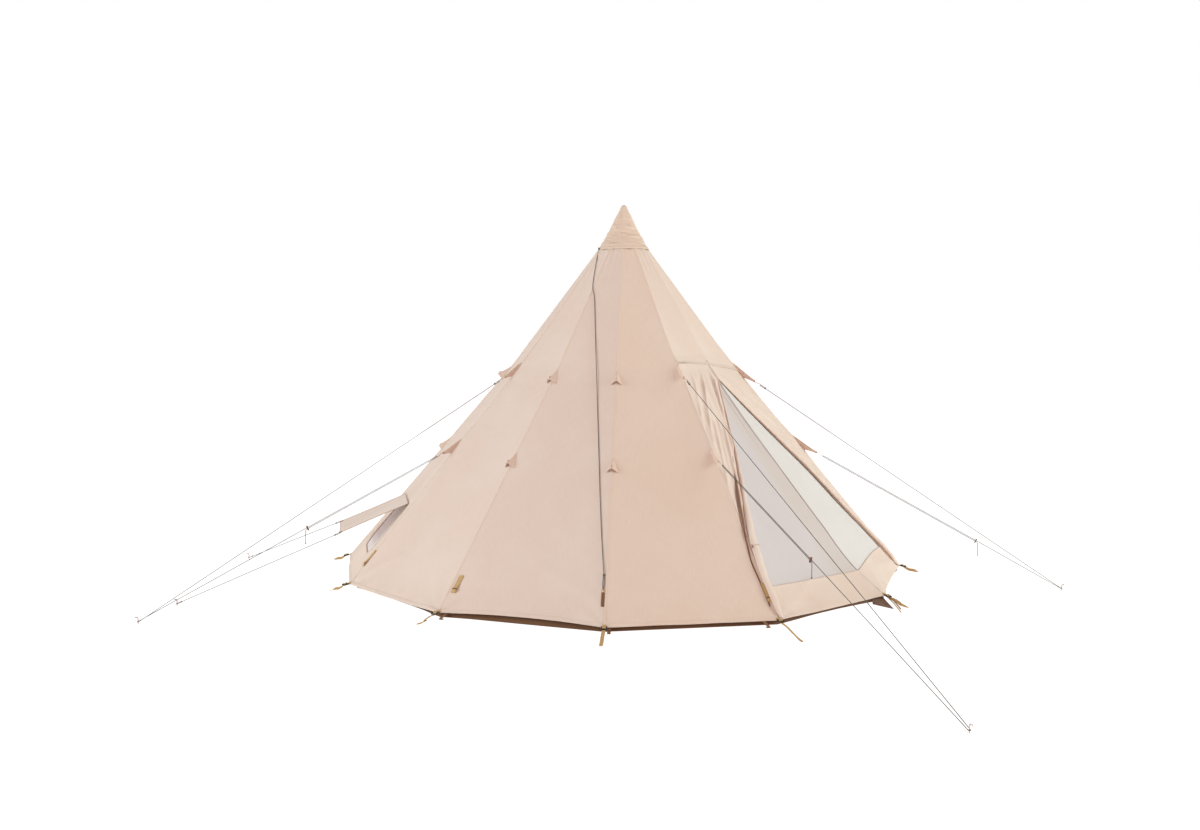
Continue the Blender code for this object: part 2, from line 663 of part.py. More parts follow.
def make_straps():
    """Corner straps with their buckles, pulled out and down to the ground."""
    for label, corner, reach, swing in STRAPS:
        start = direction(corner) * CORNER_RADIUS
        finish = direction(swing) * reach
        away = (finish - start).normalized()
        length = (finish - start).length
        matrix = frame_matrix(start, away, Vector((0, 0, 1)))
        off_axis = away.angle(direction(corner))
        inner = clear_start(off_axis, BUCKLE_WIDTH)
        lean = CORNER_RADIUS - seam_point(corner, HEM_HEIGHT + STRAP_RISE).xy.length
        sewn = clear_start(off_axis, STRAP_WIDTH) - lean
        strap = plate_curve("strap_" + label, strap_outline(sewn, length), STRAP_WIDTH, matrix, "webbing")
        strap = curve_to_mesh(strap, "webbing")
        bm = bmesh.new()
        bmesh.ops.create_cube(bm, size=1.0)
        bmesh.ops.scale(bm, vec=(BUCKLE_LENGTH, BUCKLE_THICKNESS, BUCKLE_WIDTH), verts=bm.verts)
        buckle = mesh_object("buckle_" + label, bm)
        tilt = Matrix.Rotation(radians(BUCKLE_TILT), 4, "Z")
        place = Matrix.Translation((inner + BUCKLE_LENGTH / 2 + 2 * GAP, HEM_HEIGHT + BUCKLE_RISE, 0))
        buckle.matrix_world = matrix @ place @ tilt
        add_boolean(strap, buckle, "UNION")


def guy_line(seam, centre_height, peg_point):
    """Origin on the seam and unit direction towards the peg for one guy."""
    origin = seam_point(seam, centre_height)
    return origin, (peg_point - origin).normalized()


def add_tab(panel, seam, side, centre_height, peg_point, eyelet_reach, name):
    """Join a pulled-out canvas tab with its eyelet to the edge of a panel."""
    origin, along = guy_line(seam, centre_height, peg_point)
    half_base = TAB_BASE / 2
    slope = seam_point(seam, centre_height + half_base) - seam_point(seam, centre_height - half_base)
    into_panel = direction(seam + 90 * side)
    root = origin + into_panel * (CANVAS_THICKNESS / 2 + 0.001) - direction(seam) * TAB_LAP
    reach_vector = origin + along * (eyelet_reach + TAB_MARGIN) - root
    normal = reach_vector.cross(slope).normalized()
    up = normal.cross(reach_vector).normalized()
    matrix = frame_matrix(root, reach_vector, up)
    local = matrix.to_3x3().inverted() @ slope
    base = (local.x / 2, local.y / 2)
    reach = reach_vector.length
    outline = [base, (-base[0], -base[1]), (reach, -TAB_TIP_WIDTH / 2), (reach, TAB_TIP_WIDTH / 2)]
    tab = curve_to_mesh(plate_curve(name, outline, CANVAS_THICKNESS, matrix))
    add_boolean(panel, tab, "UNION")
    hole = rod_cutter(name + "_eyelet", origin + along * eyelet_reach, normal, EYELET_RADIUS, CUTTER_DEPTH)
    add_boolean(panel, hole, "DIFFERENCE")


def hook_path():
    """Centre line of an S-hook in its own plane, from its inner to its outer end."""
    lean = asin(2 * HOOK_BEND / HOOK_SPAN)
    steps = 8
    path = []
    for i in range(steps, -1, -1):
        turn = lean - pi / 2 - radians(HOOK_TURN) * i / steps
        path.append(Vector((HOOK_BEND * cos(turn), HOOK_BEND * sin(turn), 0)))
    for i in range(steps + 1):
        turn = lean + pi / 2 - radians(HOOK_TURN) * i / steps
        path.append(Vector((HOOK_SPAN + HOOK_BEND * cos(turn), HOOK_BEND * sin(turn), 0)))
    return path


def hook_centre(origin, along, eyelet_reach):
    """Centre of a hook's inner bend, so that its wire bears on the outer side of the eyelet."""
    shift = eyelet_reach + EYELET_RADIUS - HOOK_WIRE - GAP + HOOK_BEND
    return origin + along * shift


def level_side(along):
    """Level direction at right angles to a guy."""
    return Vector((0, 0, 1)).cross(along).normalized()


def loop_arc(centre, forward, side, radius):
    """Half circle around a centre, from the +side strand round the back to the -side strand."""
    points = []
    for i in range(LOOP_STEPS + 1):
        turn = pi * i / LOOP_STEPS
        points.append(centre + side * radius * cos(turn) - forward * radius * sin(turn))
    return points


def hook_loop(origin, along, eyelet_reach):
    """Path of the rope round a hook's outer bend: two strands one above the other."""
    bearing = hook_centre(origin, along, eyelet_reach) + along * (HOOK_SPAN + HOOK_BEND)
    up = along.cross(level_side(along)).normalized()
    if up.z < 0:
        up = -up
    radius = HOOK_WIRE + ROPE_RADIUS + GAP
    return bearing, up, radius, loop_arc(bearing, along, up, radius)


def make_guy(label, seam, peg_angle, peg_radius, reach, fraction, panel, side):
    """One guy: two tabs and hooks, the rope from hook to peg to hook, its slider and its peg."""
    peg = direction(peg_angle) * peg_radius
    peg_point = peg + Vector((0, 0, PEG_LOOP_HEIGHT))
    lines = {}
    for level, height in TAB_CENTRES:
        origin, along = guy_line(seam, height, peg_point)
        lines[level] = (origin, along, reach)
        add_tab(panel, seam, side, height, peg_point, reach, "tab_%s_%s" % (label, level))
        hook = tube_curve("hook_%s_%s" % (label, level), hook_path(), HOOK_WIRE, "steel")
        hook.matrix_world = frame_matrix(hook_centre(*lines[level]), along, level_side(along))
    make_rope(label, lines, peg_point, fraction)
    make_peg("guy_peg_" + label, peg, direction(peg_angle))


def make_rope(label, lines, peg_point, fraction):
    """The rope as one body: knotted loop, run to the peg, back through the slider, loop and tail."""
    bearing, up, radius, loop = hook_loop(*lines["upper"])
    outwards = lines["upper"][1]
    knot = bearing + outwards * KNOT_REACH
    upper_loop = [knot + up * KNOT_STRAND] + loop + [knot - up * KNOT_STRAND]
    low_along = lines["lower"][1]
    low_bearing, low_up, low_radius, low_loop = hook_loop(*lines["lower"])
    round_peg = PEG_RADIUS + ROPE_RADIUS + GAP
    side = level_side(outwards)
    level = Vector((outwards.x, outwards.y, 0)).normalized()
    peg_arc = loop_arc(peg_point, -level, side, round_peg)
    slider = low_bearing.lerp(peg_point, fraction)
    half = low_along * SLIDER_THICKNESS / 2
    upper_hole = slider + low_up * low_radius
    lower_hole = slider - low_up * low_radius
    down = Vector((0, 0, -1))
    tail_start = lower_hole + half + low_along * TAIL_START
    tail = []
    for turn in (0, pi / 4, pi / 2):
        tail.append(tail_start + (low_along * sin(turn) + down * (1 - cos(turn))) * TAIL_BEND)
    end = tail[-1] + down * TAIL_LENGTH
    path = [knot] + peg_arc + [upper_hole + half * 2, upper_hole - half * 2] + low_loop
    path += [lower_hole - half] + tail + [end]
    rope = curve_to_mesh(tube_curve("guy_rope_" + label, path, ROPE_RADIUS, "rope"), "rope")
    add_boolean(rope, ball("knot_" + label, knot, KNOT_RADIUS), "UNION")
    add_boolean(rope, curve_to_mesh(tube_curve("loop_" + label, upper_loop, ROPE_RADIUS)), "UNION")
    add_boolean(rope, ball("tail_knot_" + label, end, TAIL_KNOT_RADIUS), "UNION")
    make_slider("guy_slider_" + label, slider, low_along, low_up, low_radius)


def make_slider(name, centre, along, up, hole_offset):
    """Flat runner with two holes that grips the doubled part of the rope."""
    bm = bmesh.new()
    bmesh.ops.create_cube(bm, size=1.0)
    bmesh.ops.scale(bm, vec=(SLIDER_THICKNESS, SLIDER_WIDTH, SLIDER_LENGTH), verts=bm.verts)
    slider = mesh_object(name, bm, "copper")
    slider.matrix_world = frame_matrix(centre, along, up.cross(along))
    for i in (-1, 1):
        hole = rod_cutter("%s_hole_%d" % (name, i), centre + up * hole_offset * i, along,
                          ROPE_RADIUS + GAP, 3 * SLIDER_THICKNESS)
        add_boolean(slider, hole, "DIFFERENCE")


def make_peg(name, foot, away):
    """The part of a steel peg that stands above the ground, bent over as a hook."""
    steps = 6
    path = [foot, foot + Vector((0, 0, PEG_HEIGHT - PEG_BEND))]
    centre = path[-1] + away * PEG_BEND
    for i in range(1, steps + 1):
        turn = pi - radians(PEG_TURN) * i / steps
        path.append(centre + (away * cos(turn) + Vector((0, 0, sin(turn)))) * PEG_BEND)
    tube_curve(name, path, PEG_RADIUS, "steel")


def awning_loop(corner, along, knot_normal):
    """Loop of cord through an awning's eyelet, over and under its edge, and the point where it ends."""
    flat_along = (along - knot_normal * along.dot(knot_normal)).normalized()
    rise = knot_normal * (AWNING_THICKNESS / 2 + ROPE_RADIUS + GAP)
    inner = corner + flat_along * (EYELET_RADIUS - ROPE_RADIUS - GAP)
    edge = corner + flat_along * AWNING_LOOP_START
    outer = corner + flat_along * (AWNING_EYELET + AWNING_LOOP_OVERHANG)
    loop = [outer + rise * 0.9, edge + rise, inner + rise * 0.75, inner, inner - rise * 0.75,
            edge - rise, outer - rise * 0.9]
    return loop, outer


def make_awning_cord(label, side, peg_angle, peg_radius):
    """Cord from an awning corner to its peg, knotted into a loop at both ends, as one body."""
    corner = awning_corner(side)
    foot = direction(peg_angle) * peg_radius
    peg_point = foot + Vector((0, 0, PEG_LOOP_HEIGHT))
    along = (peg_point - corner).normalized()
    normal = awning_frame().to_3x3().col[2].normalized()
    if normal.z < 0:
        normal = -normal
    loop, outer = awning_loop(corner, along, normal)
    knot = outer + along * AWNING_KNOT_REACH
    peg_knot = peg_point - along * AWNING_PEG_KNOT_REACH
    sideways = level_side(along)
    ahead = Vector((along.x, along.y, 0)).normalized()
    arc = loop_arc(peg_point, -ahead, sideways, PEG_RADIUS + ROPE_RADIUS + GAP)
    loop = [knot + normal * KNOT_STRAND] + loop + [knot - normal * KNOT_STRAND]
    peg_loop = [peg_knot + sideways * KNOT_STRAND] + arc + [peg_knot - sideways * KNOT_STRAND]
    run = tube_curve("awning_cord_" + label, [knot, peg_knot], ROPE_RADIUS, "rope")
    cord = curve_to_mesh(run, "rope")
    for name, centre in (("knot_", knot), ("peg_knot_", peg_knot)):
        add_boolean(cord, ball("awning_" + name + label, centre, KNOT_RADIUS), "UNION")
    for name, path in (("loop_", loop), ("peg_loop_", peg_loop)):
        strand = tube_curve("awning_" + name + label, path, ROPE_RADIUS)
        add_boolean(cord, curve_to_mesh(strand), "UNION")
    make_peg("awning_peg_" + label, foot, direction(peg_angle))


def canvas_radius(degrees, z):
    """Radius of the canvas at any direction: flat panels between the taut seams."""
    half = SEAM_STEP / 2
    nearest = SEAM_STEP * round((degrees - half) / SEAM_STEP) + half
    return seam_radius(z) * cos(radians(half)) / cos(radians(degrees - nearest))


def unrolled_point(angle, radius):
    """Point on the unrolled cone, with the cord's foot on the X axis."""
    apex = atan(MEAN_SLOPE)
    turn = radians(angle - CORD_FOOT_ANGLE) * sin(apex)
    return Vector((cos(turn), sin(turn))) * radius / sin(apex)


def rolled_angle(flat):
    """Direction around the pole of a point on the unrolled cone."""
    return CORD_FOOT_ANGLE + degrees(asin(flat.y / flat.length)) / sin(atan(MEAN_SLOPE))


def seam_crossing(start, finish, seam):
    """Where the straight line on the unrolled cone crosses a seam."""
    for i in range(SEARCH_STEPS):
        t = i / SEARCH_STEPS
        before = rolled_angle(start.lerp(finish, t))
        after = rolled_angle(start.lerp(finish, t + 1 / SEARCH_STEPS))
        if (before - seam) * (after - seam) <= 0:
            return t + 0.5 / SEARCH_STEPS
    return 1.0


def make_vent_cord():
    """Cord that pulls the cap aside: the shortest way over the canvas, laid flat on it."""
    start = unrolled_point(CORD_TOP_ANGLE, seam_radius(CAP_RIM_HEIGHT) + CORD_TOP_REACH)
    finish = unrolled_point(CORD_FOOT_ANGLE, seam_radius(CORD_FOOT_HEIGHT))
    clearance = (CORD_RADIUS + CORD_CLEARANCE) / cos(atan(MEAN_SLOPE))
    stations = [i / CORD_POINTS for i in range(1, CORD_POINTS + 1)]
    stations += [seam_crossing(start, finish, seam) for seam in CORD_SEAMS]
    rim = direction(CORD_TOP_ANGLE) * (CAP_PROFILE[-1][0] + CORD_RADIUS + GAP)
    path = [rim + Vector((0, 0, CAP_RIM_HEIGHT + CORD_TOP_RISE))]
    for t in sorted(stations):
        flat = start.lerp(finish, t)
        angle = rolled_angle(flat)
        z = height_of_radius(flat.length * sin(atan(MEAN_SLOPE)))
        path.append(direction(angle) * (canvas_radius(angle, z) + clearance) + Vector((0, 0, z)))
    tube_curve("vent_cord", path, CORD_RADIUS, "rope")


def height_of_radius(radius):
    """Height at which a taut seam has this radius."""
    table = sorted((r, z) for r, z in SEAM_PROFILE)
    return interpolate(table, radius)


def build():
    """Make every part of the tent, from the groundsheet up."""
    clear_scene()
    make_collection(COLLECTION)
    make_collection(CUTTERS)
    make_groundsheet()
    make_pole()
    panels = make_canvas_panels()
    door_right = make_door_canvas()
    make_door_mesh()
    make_door_flaps()
    make_window(panels)
    make_awning()
    make_vent_cap()
    make_vent_cord()
    make_straps()
    tab_panels = {"front_left": (panels[-45], -1), "front_right": (door_right, -1),
                  "back_left": (panels[-105], 1), "back_right": (panels[105], -1)}
    for guy in GUYS:
        make_guy(*guy, *tab_panels[guy[0]])
    for cord in AWNING_CORDS:
        make_awning_cord(*cord)


build()
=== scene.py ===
# %% [markdown]
# A canvas tipi tent, dressed for its portrait. The frame below is the measured model: every
# panel, pole, strap and rope where it really stands. The cells after it sew the cloth.
# Tents of this kind are twelve panels joined at ridge-like seams, guyed out from four of them.
# The order follows the sewing: canvas first, then the door, the window, the cap, and last the
# small things that hold the tent down.

from math import cos, pi, radians, sin

import bpy
import numpy as np
from mathutils import Matrix, Vector


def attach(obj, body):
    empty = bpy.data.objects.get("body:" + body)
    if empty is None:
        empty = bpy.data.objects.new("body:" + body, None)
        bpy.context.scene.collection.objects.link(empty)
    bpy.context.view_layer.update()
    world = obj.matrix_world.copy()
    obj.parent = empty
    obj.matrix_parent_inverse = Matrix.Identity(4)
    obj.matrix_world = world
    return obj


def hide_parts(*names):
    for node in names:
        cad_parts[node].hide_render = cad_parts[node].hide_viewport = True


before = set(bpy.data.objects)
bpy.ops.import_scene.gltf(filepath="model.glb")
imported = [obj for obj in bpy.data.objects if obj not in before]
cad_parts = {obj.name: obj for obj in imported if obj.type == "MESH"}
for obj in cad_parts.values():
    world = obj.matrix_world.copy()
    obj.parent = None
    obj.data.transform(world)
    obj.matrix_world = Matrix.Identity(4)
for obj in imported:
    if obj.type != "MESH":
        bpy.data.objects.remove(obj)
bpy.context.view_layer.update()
UP = np.array([0.0, 0.0, 1.0])

# %% [markdown]
# The camera stands at a grown-up's eye height, some nine metres from the pole, and looks a little
# down. A camera's local axes are right, up and backwards, so its matrix is written from three
# vectors.

# %% Camera
EYE = (-7.3401, -4.6946, 1.7053)
HEADING = radians(-57.398)
YAW, PITCH, ROLL = -0.0183, 0.0707, 0.0073
LENS = 36.33

across = Vector((cos(HEADING), sin(HEADING), 0))
ahead = Vector((-sin(HEADING), cos(HEADING), 0))
look = (across * sin(YAW) + ahead * cos(YAW)) * cos(PITCH) - Vector((0, 0, sin(PITCH)))
right = look.cross(Vector((0, 0, 1))).normalized()
up = right.cross(look)
rolled_right = right * cos(ROLL) + up * sin(ROLL)
rolled_up = up * cos(ROLL) - right * sin(ROLL)
camera = bpy.data.objects.new("camera", bpy.data.cameras.new("camera"))
camera.data.lens = LENS
camera.data.sensor_width = 36.0
turn = Matrix((rolled_right, rolled_up, -look)).transposed().to_4x4()
camera.matrix_world = Matrix.Translation(EYE) @ turn
bpy.context.scene.collection.objects.link(camera)
bpy.context.scene.camera = camera
print("camera stands", round(Vector(EYE).length, 2), "m from the pole's foot")

# %% [markdown]
# Studio light for cloth is broad and even, or the weave turns harsh. Two big softboxes stand left
# and right of the camera, so the panels that face it stay a shade darker than the ones beside
# them. The background is white to the camera, while a dimmer white lights the tent.

# %% Studio
ROOM_LIGHT = (0.424, 0.297, 0.286, 1)
SOFTBOX_SIZE = 5.0
SOFTBOXES = [("left_softbox", (-8.5, 4.5, 4.2), 534.0, (0.783, 0.998, 1.0)),
             ("right_softbox", (3.0, -9.5, 4.2), 677.0, (0.811, 1.0, 0.934)),
             ("front_softbox", (-8.0, -6.5, 4.5), 52.0, (1.0, 0.585, 0.533)),
             ("back_softbox", (8.5, 6.5, 4.5), 450.0, (0.84, 1.0, 0.98))]

world = bpy.data.worlds.new("studio")
bpy.context.scene.world = world
world.use_nodes = True
tree = world.node_tree
room = tree.nodes["Background"]
room.inputs["Color"].default_value = ROOM_LIGHT
paper = tree.nodes.new("ShaderNodeBackground")
paper.inputs["Color"].default_value = (1, 1, 1, 1)
chosen = tree.nodes.new("ShaderNodeMixShader")
tree.links.new(tree.nodes.new("ShaderNodeLightPath").outputs["Is Camera Ray"], chosen.inputs[0])
tree.links.new(room.outputs[0], chosen.inputs[1])
tree.links.new(paper.outputs[0], chosen.inputs[2])
tree.links.new(chosen.outputs[0], tree.nodes["World Output"].inputs[0])


def make_softbox(name, place, power, colour):
    """Square area light that looks at the middle of the tent."""
    data = bpy.data.lights.new(name, "AREA")
    data.shape = "SQUARE"
    data.size = SOFTBOX_SIZE
    data.energy = power
    data.color = colour
    light = bpy.data.objects.new(name, data)
    light.location = place
    light.rotation_euler = (Vector((0, 0, 0.9)) - light.location).to_track_quat("-Z", "Y").to_euler()
    bpy.context.scene.collection.objects.link(light)


for softbox in SOFTBOXES:
    make_softbox(*softbox)
bpy.context.scene.view_settings.view_transform = "Standard"
print(len(SOFTBOXES), "softboxes, each", SOFTBOX_SIZE, "m wide")

# %% [markdown]
# Materials are node trees, and a few helpers keep them short to write: one adds a node and fills
# its inputs with numbers or links, one does arithmetic, one mixes two colours, and two more start
# and place a node group. A number that never varies stays on the socket itself.

# %% Node helpers
def fill(tree, node, inputs):
    """Give each named input of a node its link or its plain value."""
    for key, value in inputs.items():
        if isinstance(value, bpy.types.NodeSocket):
            tree.links.new(value, node.inputs[key])
        else:
            node.inputs[key].default_value = value


def add_node(tree, kind, inputs=None, **settings):
    """Add a shader node, set its properties, and fill its inputs with values or links."""
    node = tree.nodes.new("ShaderNode" + kind)
    for key, value in settings.items():
        setattr(node, key, value)
    fill(tree, node, inputs or {})
    return node


def arithmetic(tree, operation, *values, clamp=False):
    """Result of a Math node on up to three values or links."""
    inputs = dict(enumerate(values))
    return add_node(tree, "Math", inputs, operation=operation, use_clamp=clamp).outputs[0]


def times(tree, first, second):
    """Product of two values or links."""
    return arithmetic(tree, "MULTIPLY", first, second)


def mixed(tree, factor, first, second, blend="MIX"):
    """Mix two colours."""
    inputs = {0: factor, 6: first, 7: second}
    return add_node(tree, "Mix", inputs, data_type="RGBA", blend_type=blend).outputs[2]


def ramp(tree, value, low, high):
    """Value run through a smooth step from 0 at low to 1 at high."""
    inputs = {"Value": value, "From Min": low, "From Max": high}
    return add_node(tree, "MapRange", inputs, interpolation_type="SMOOTHSTEP").outputs[0]


def noise(tree, place, scale, detail):
    """Value of a Noise texture at a place."""
    inputs = {"Vector": place, "Scale": scale, "Detail": detail}
    return add_node(tree, "TexNoise", inputs).outputs[0]


def new_group(name, inputs, outputs):
    """Start a node group; each input is named with its kind, or with the number it starts from."""
    tree = bpy.data.node_groups.new(name, "ShaderNodeTree")
    for label, given in inputs.items():
        kind = given if isinstance(given, str) else "Float"
        socket = tree.interface.new_socket(label, in_out="INPUT", socket_type="NodeSocket" + kind)
        if kind != given:
            socket.default_value = given
    for label, kind in outputs.items():
        tree.interface.new_socket(label, in_out="OUTPUT", socket_type="NodeSocket" + kind)
    start = tree.nodes.new("NodeGroupInput").outputs
    end = tree.nodes.new("NodeGroupOutput").inputs
    return tree, start, end


def use_group(tree, name, inputs):
    """Place a node group in a material and fill its inputs."""
    node = tree.nodes.new("ShaderNodeGroup")
    node.node_tree = bpy.data.node_groups[name]
    fill(tree, node, inputs)
    return node.outputs


print("node helpers ready:", fill.__name__, add_node.__name__, new_group.__name__, use_group.__name__)

# %% [markdown]
# Canvas is a plain weave: threads go over and under each other, one by one. Two sine waves
# multiplied give that checker of small bumps, and a slow noise makes some threads thicker, as in
# real cotton. The coordinates are the cloth's own UV map, which is in metres on every sheet here.

# %% Weave group
SLUB_STRETCH = (260, 18, 1)     # slubs are long and thin, along the warp

tree, start, end = new_group("plain weave", {"Cloth": "Vector", "Threads": 900.0},
                             {"Height": "Float", "Shade": "Float"})
axes = add_node(tree, "SeparateXYZ", {0: start["Cloth"]}).outputs
turns = times(tree, start["Threads"], pi)
weft = arithmetic(tree, "SINE", times(tree, axes[0], turns))
warp = arithmetic(tree, "SINE", times(tree, axes[1], turns))
checker = times(tree, weft, warp)
stretched = add_node(tree, "VectorMath", {0: start["Cloth"], 1: SLUB_STRETCH},
                     operation="MULTIPLY").outputs[0]
slubs = noise(tree, stretched, 1.0, 2.0)
tree.links.new(arithmetic(tree, "MULTIPLY_ADD", checker, 0.35, slubs), end["Height"])
tree.links.new(slubs, end["Shade"])
print("made", tree.name, "with", list(start.keys())[:-1])

# %% [markdown]
# Untreated cotton is never one flat colour. Dye lots, folding and handling leave broad soft
# patches, and dust gathers near the ground. Both effects read the position in space, so they run
# on without a break from one panel to the next.

# %% Mottle and dust groups
# Broad soft patches of a second colour, and finer ones within them.
inputs = {"Color": "Color", "Second": "Color", "Size": 0.5, "Amount": 0.5}
tree, start, end = new_group("soft mottling", inputs, {"Color": "Color"})
place = add_node(tree, "NewGeometry").outputs["Position"]
scale = arithmetic(tree, "DIVIDE", 1.0, start["Size"])
broad = noise(tree, place, scale, 3.0)
mask = times(tree, ramp(tree, broad, 0.38, 0.62), start["Amount"])
tree.links.new(mixed(tree, mask, start["Color"], start["Second"]), end["Color"])

# Dust and faint splashes that fade out above the ground.
inputs = {"Color": "Color", "Dust": "Color", "Reach": 0.2, "Amount": 0.5}
tree, start, end = new_group("ground dust", inputs, {"Color": "Color", "Mask": "Float"})
place = add_node(tree, "NewGeometry").outputs["Position"]
height = add_node(tree, "SeparateXYZ", {0: place}).outputs[2]
low = arithmetic(tree, "DIVIDE", height, start["Reach"], clamp=True)
low = arithmetic(tree, "SUBTRACT", 1.0, low)
patches = ramp(tree, noise(tree, place, 9.0, 5.0), 0.35, 0.7)
mask = times(tree, times(tree, low, low), patches)
mask = times(tree, mask, start["Amount"])
tree.links.new(mixed(tree, mask, start["Color"], start["Dust"]), end["Color"])
tree.links.new(mask, end["Mask"])
print("made soft mottling and", tree.name)

# %% [markdown]
# A row of machine stitches is a dashed line. The group measures how far a point lies from the row
# and cuts that line up along its length. It puts out a mask, which gives the thread its colour and
# raises it in the bump.

# %% Stitch group
tree, start, end = new_group("stitch row", {"Across": 0.0, "Along": 0.0, "Place": 0.0, "Pitch": 0.004},
                             {"Mask": "Float"})
off = arithmetic(tree, "ABSOLUTE", arithmetic(tree, "SUBTRACT", start["Across"], start["Place"]))
near = arithmetic(tree, "SUBTRACT", 1.0, ramp(tree, off, 0.0003, 0.0011))
dash = arithmetic(tree, "FRACT", arithmetic(tree, "DIVIDE", start["Along"], start["Pitch"]))
middle = arithmetic(tree, "ABSOLUTE", arithmetic(tree, "SUBTRACT", dash, 0.5))
thread = arithmetic(tree, "SUBTRACT", 1.0, ramp(tree, middle, 0.30, 0.42))
tree.links.new(times(tree, near, thread), end["Mask"])
print("made", tree.name, "with", list(start.keys())[:-1])

# %% [markdown]
# Webbing is woven in ribs across its width, and rope is a sheath of strands that cross each other
# on the slant. Each is one small pattern of sine waves in the piece's own UV metres.

# %% Webbing and braid groups
HERRINGBONE = 0.0035            # width of one slanted band of ribs

# Fine ribs with a herringbone down the middle.
tree, start, end = new_group("webbing ribs", {"Cloth": "Vector", "Ribs": 700.0}, {"Height": "Float"})
axes = add_node(tree, "SeparateXYZ", {0: start["Cloth"]}).outputs
zigzag = arithmetic(tree, "PINGPONG", axes[0], HERRINGBONE)
slant = arithmetic(tree, "ADD", axes[1], zigzag)
turns = times(tree, start["Ribs"], 2 * pi)
wave = arithmetic(tree, "SINE", times(tree, slant, turns))
tree.links.new(arithmetic(tree, "MULTIPLY_ADD", wave, 0.5, 0.5), end["Height"])

# Strands that cross on the slant round a cord.
tree, start, end = new_group("braid", {"Cord": "Vector", "Strand": 0.004}, {"Height": "Float"})
axes = add_node(tree, "SeparateXYZ", {0: start["Cord"]}).outputs
turns = arithmetic(tree, "DIVIDE", 2 * pi, start["Strand"])
waves = []
for lean in ("ADD", "SUBTRACT"):
    slant = arithmetic(tree, lean, axes[1], axes[0])
    waves.append(arithmetic(tree, "SINE", times(tree, slant, turns)))
crossing = arithmetic(tree, "MAXIMUM", *waves)
tree.links.new(arithmetic(tree, "MULTIPLY_ADD", crossing, 0.5, 0.5), end["Height"])
print("made webbing ribs and", tree.name)

# %% [markdown]
# Metal that lives outdoors is dull in patches. One group makes that wear: a value for roughness
# and a mask of dark spots, both from one noise in space.

# %% Wear group
tree, start, end = new_group("outdoor wear", {"Size": 0.02, "Least": 0.3, "Most": 0.5},
                             {"Roughness": "Float", "Grime": "Float"})
place = add_node(tree, "NewGeometry").outputs["Position"]
scale = arithmetic(tree, "DIVIDE", 1.0, start["Size"])
patches = noise(tree, place, scale, 6.0)
spread = arithmetic(tree, "SUBTRACT", start["Most"], start["Least"])
rough = arithmetic(tree, "MULTIPLY_ADD", ramp(tree, patches, 0.3, 0.7), spread, start["Least"])
tree.links.new(rough, end["Roughness"])
tree.links.new(ramp(tree, patches, 0.52, 0.75), end["Grime"])
print("effects:", [group.name for group in bpy.data.node_groups])

# %% [markdown]
# Every cloth material here starts the same way: UV metres go into the weave, the base colour gets
# its mottling and dust, and the weave's height goes through a Bump node into the Normal. What
# differs is colour, thread count and stitching, so one function makes them all.

# %% Cloth materials
CREAM = (0.762, 0.623, 0.536, 1)
BLUSH = (0.744, 0.578, 0.490, 1)
# Darker, pinker copy of the canvas for the panel that faces the camera: a painted shade.
SHADED_CREAM, SHADED_BLUSH = (0.756, 0.598, 0.498, 1), (0.738, 0.556, 0.455, 1)
DUST = (0.62, 0.49, 0.37, 1)
THREAD = (0.70, 0.56, 0.44, 1)
MOTTLE_SIZE, DUST_REACH, CLOTH_BUMP = 0.55, 0.22, 0.0004
SLUB_SHADE = 0.13               # how much the thick threads vary the colour
STITCH_COVER, STITCH_HEIGHT = 0.45, 1.5


def new_material(name, roughness=0.9, metallic=0.0, specular=0.25):
    """Principled material with its plain values set on the shader's own sockets."""
    material = bpy.data.materials.new(name)
    material.use_nodes = True
    tree = material.node_tree
    shader = tree.nodes["Principled BSDF"]
    shader.inputs["Roughness"].default_value = roughness
    shader.inputs["Metallic"].default_value = metallic
    shader.inputs["Specular IOR Level"].default_value = specular
    return material, tree, shader


def cloth_place(tree):
    """UV map of the piece, in metres."""
    return tree.nodes.new("ShaderNodeTexCoord").outputs["UV"]


def add_bump(tree, shader, height, distance, strength=0.6):
    """Bump from a height into the shader's Normal."""
    bump = add_node(tree, "Bump", {"Strength": strength, "Distance": distance, "Height": height})
    tree.links.new(bump.outputs[0], shader.inputs["Normal"])


def cloth_material(name, base, second, rows=(), swap=False, threads=900.0, amount=0.6, dusty=0.35):
    """Woven cloth with mottling, dust near the ground, and stitched rows at places across it."""
    material, tree, shader = new_material(name)
    shader.inputs["Sheen Weight"].default_value = 0.12
    shader.inputs["Sheen Roughness"].default_value = 0.6
    cloth = cloth_place(tree)
    axes = add_node(tree, "SeparateXYZ", {0: cloth}).outputs
    across, along = (axes[1], axes[0]) if swap else (axes[0], axes[1])
    weave = use_group(tree, "plain weave", {"Cloth": cloth, "Threads": threads})
    colour = use_group(tree, "soft mottling", {"Color": base, "Second": second, "Size": MOTTLE_SIZE,
                                               "Amount": amount})["Color"]
    colour = use_group(tree, "ground dust", {"Color": colour, "Dust": DUST, "Reach": DUST_REACH,
                                             "Amount": dusty})["Color"]
    shade = arithmetic(tree, "MULTIPLY_ADD", weave["Shade"], SLUB_SHADE, 1 - SLUB_SHADE / 2)
    grey = add_node(tree, "CombineColor", {0: shade, 1: shade, 2: shade}).outputs[0]
    colour = mixed(tree, 1.0, colour, grey, "MULTIPLY")
    height = weave["Height"]
    for place in rows:
        mask = use_group(tree, "stitch row", {"Across": across, "Along": along, "Place": place})["Mask"]
        colour = mixed(tree, times(tree, mask, STITCH_COVER), colour, THREAD)
        height = arithmetic(tree, "ADD", height, times(tree, mask, STITCH_HEIGHT))
    tree.links.new(colour, shader.inputs["Base Color"])
    add_bump(tree, shader, height, CLOTH_BUMP)
    return material


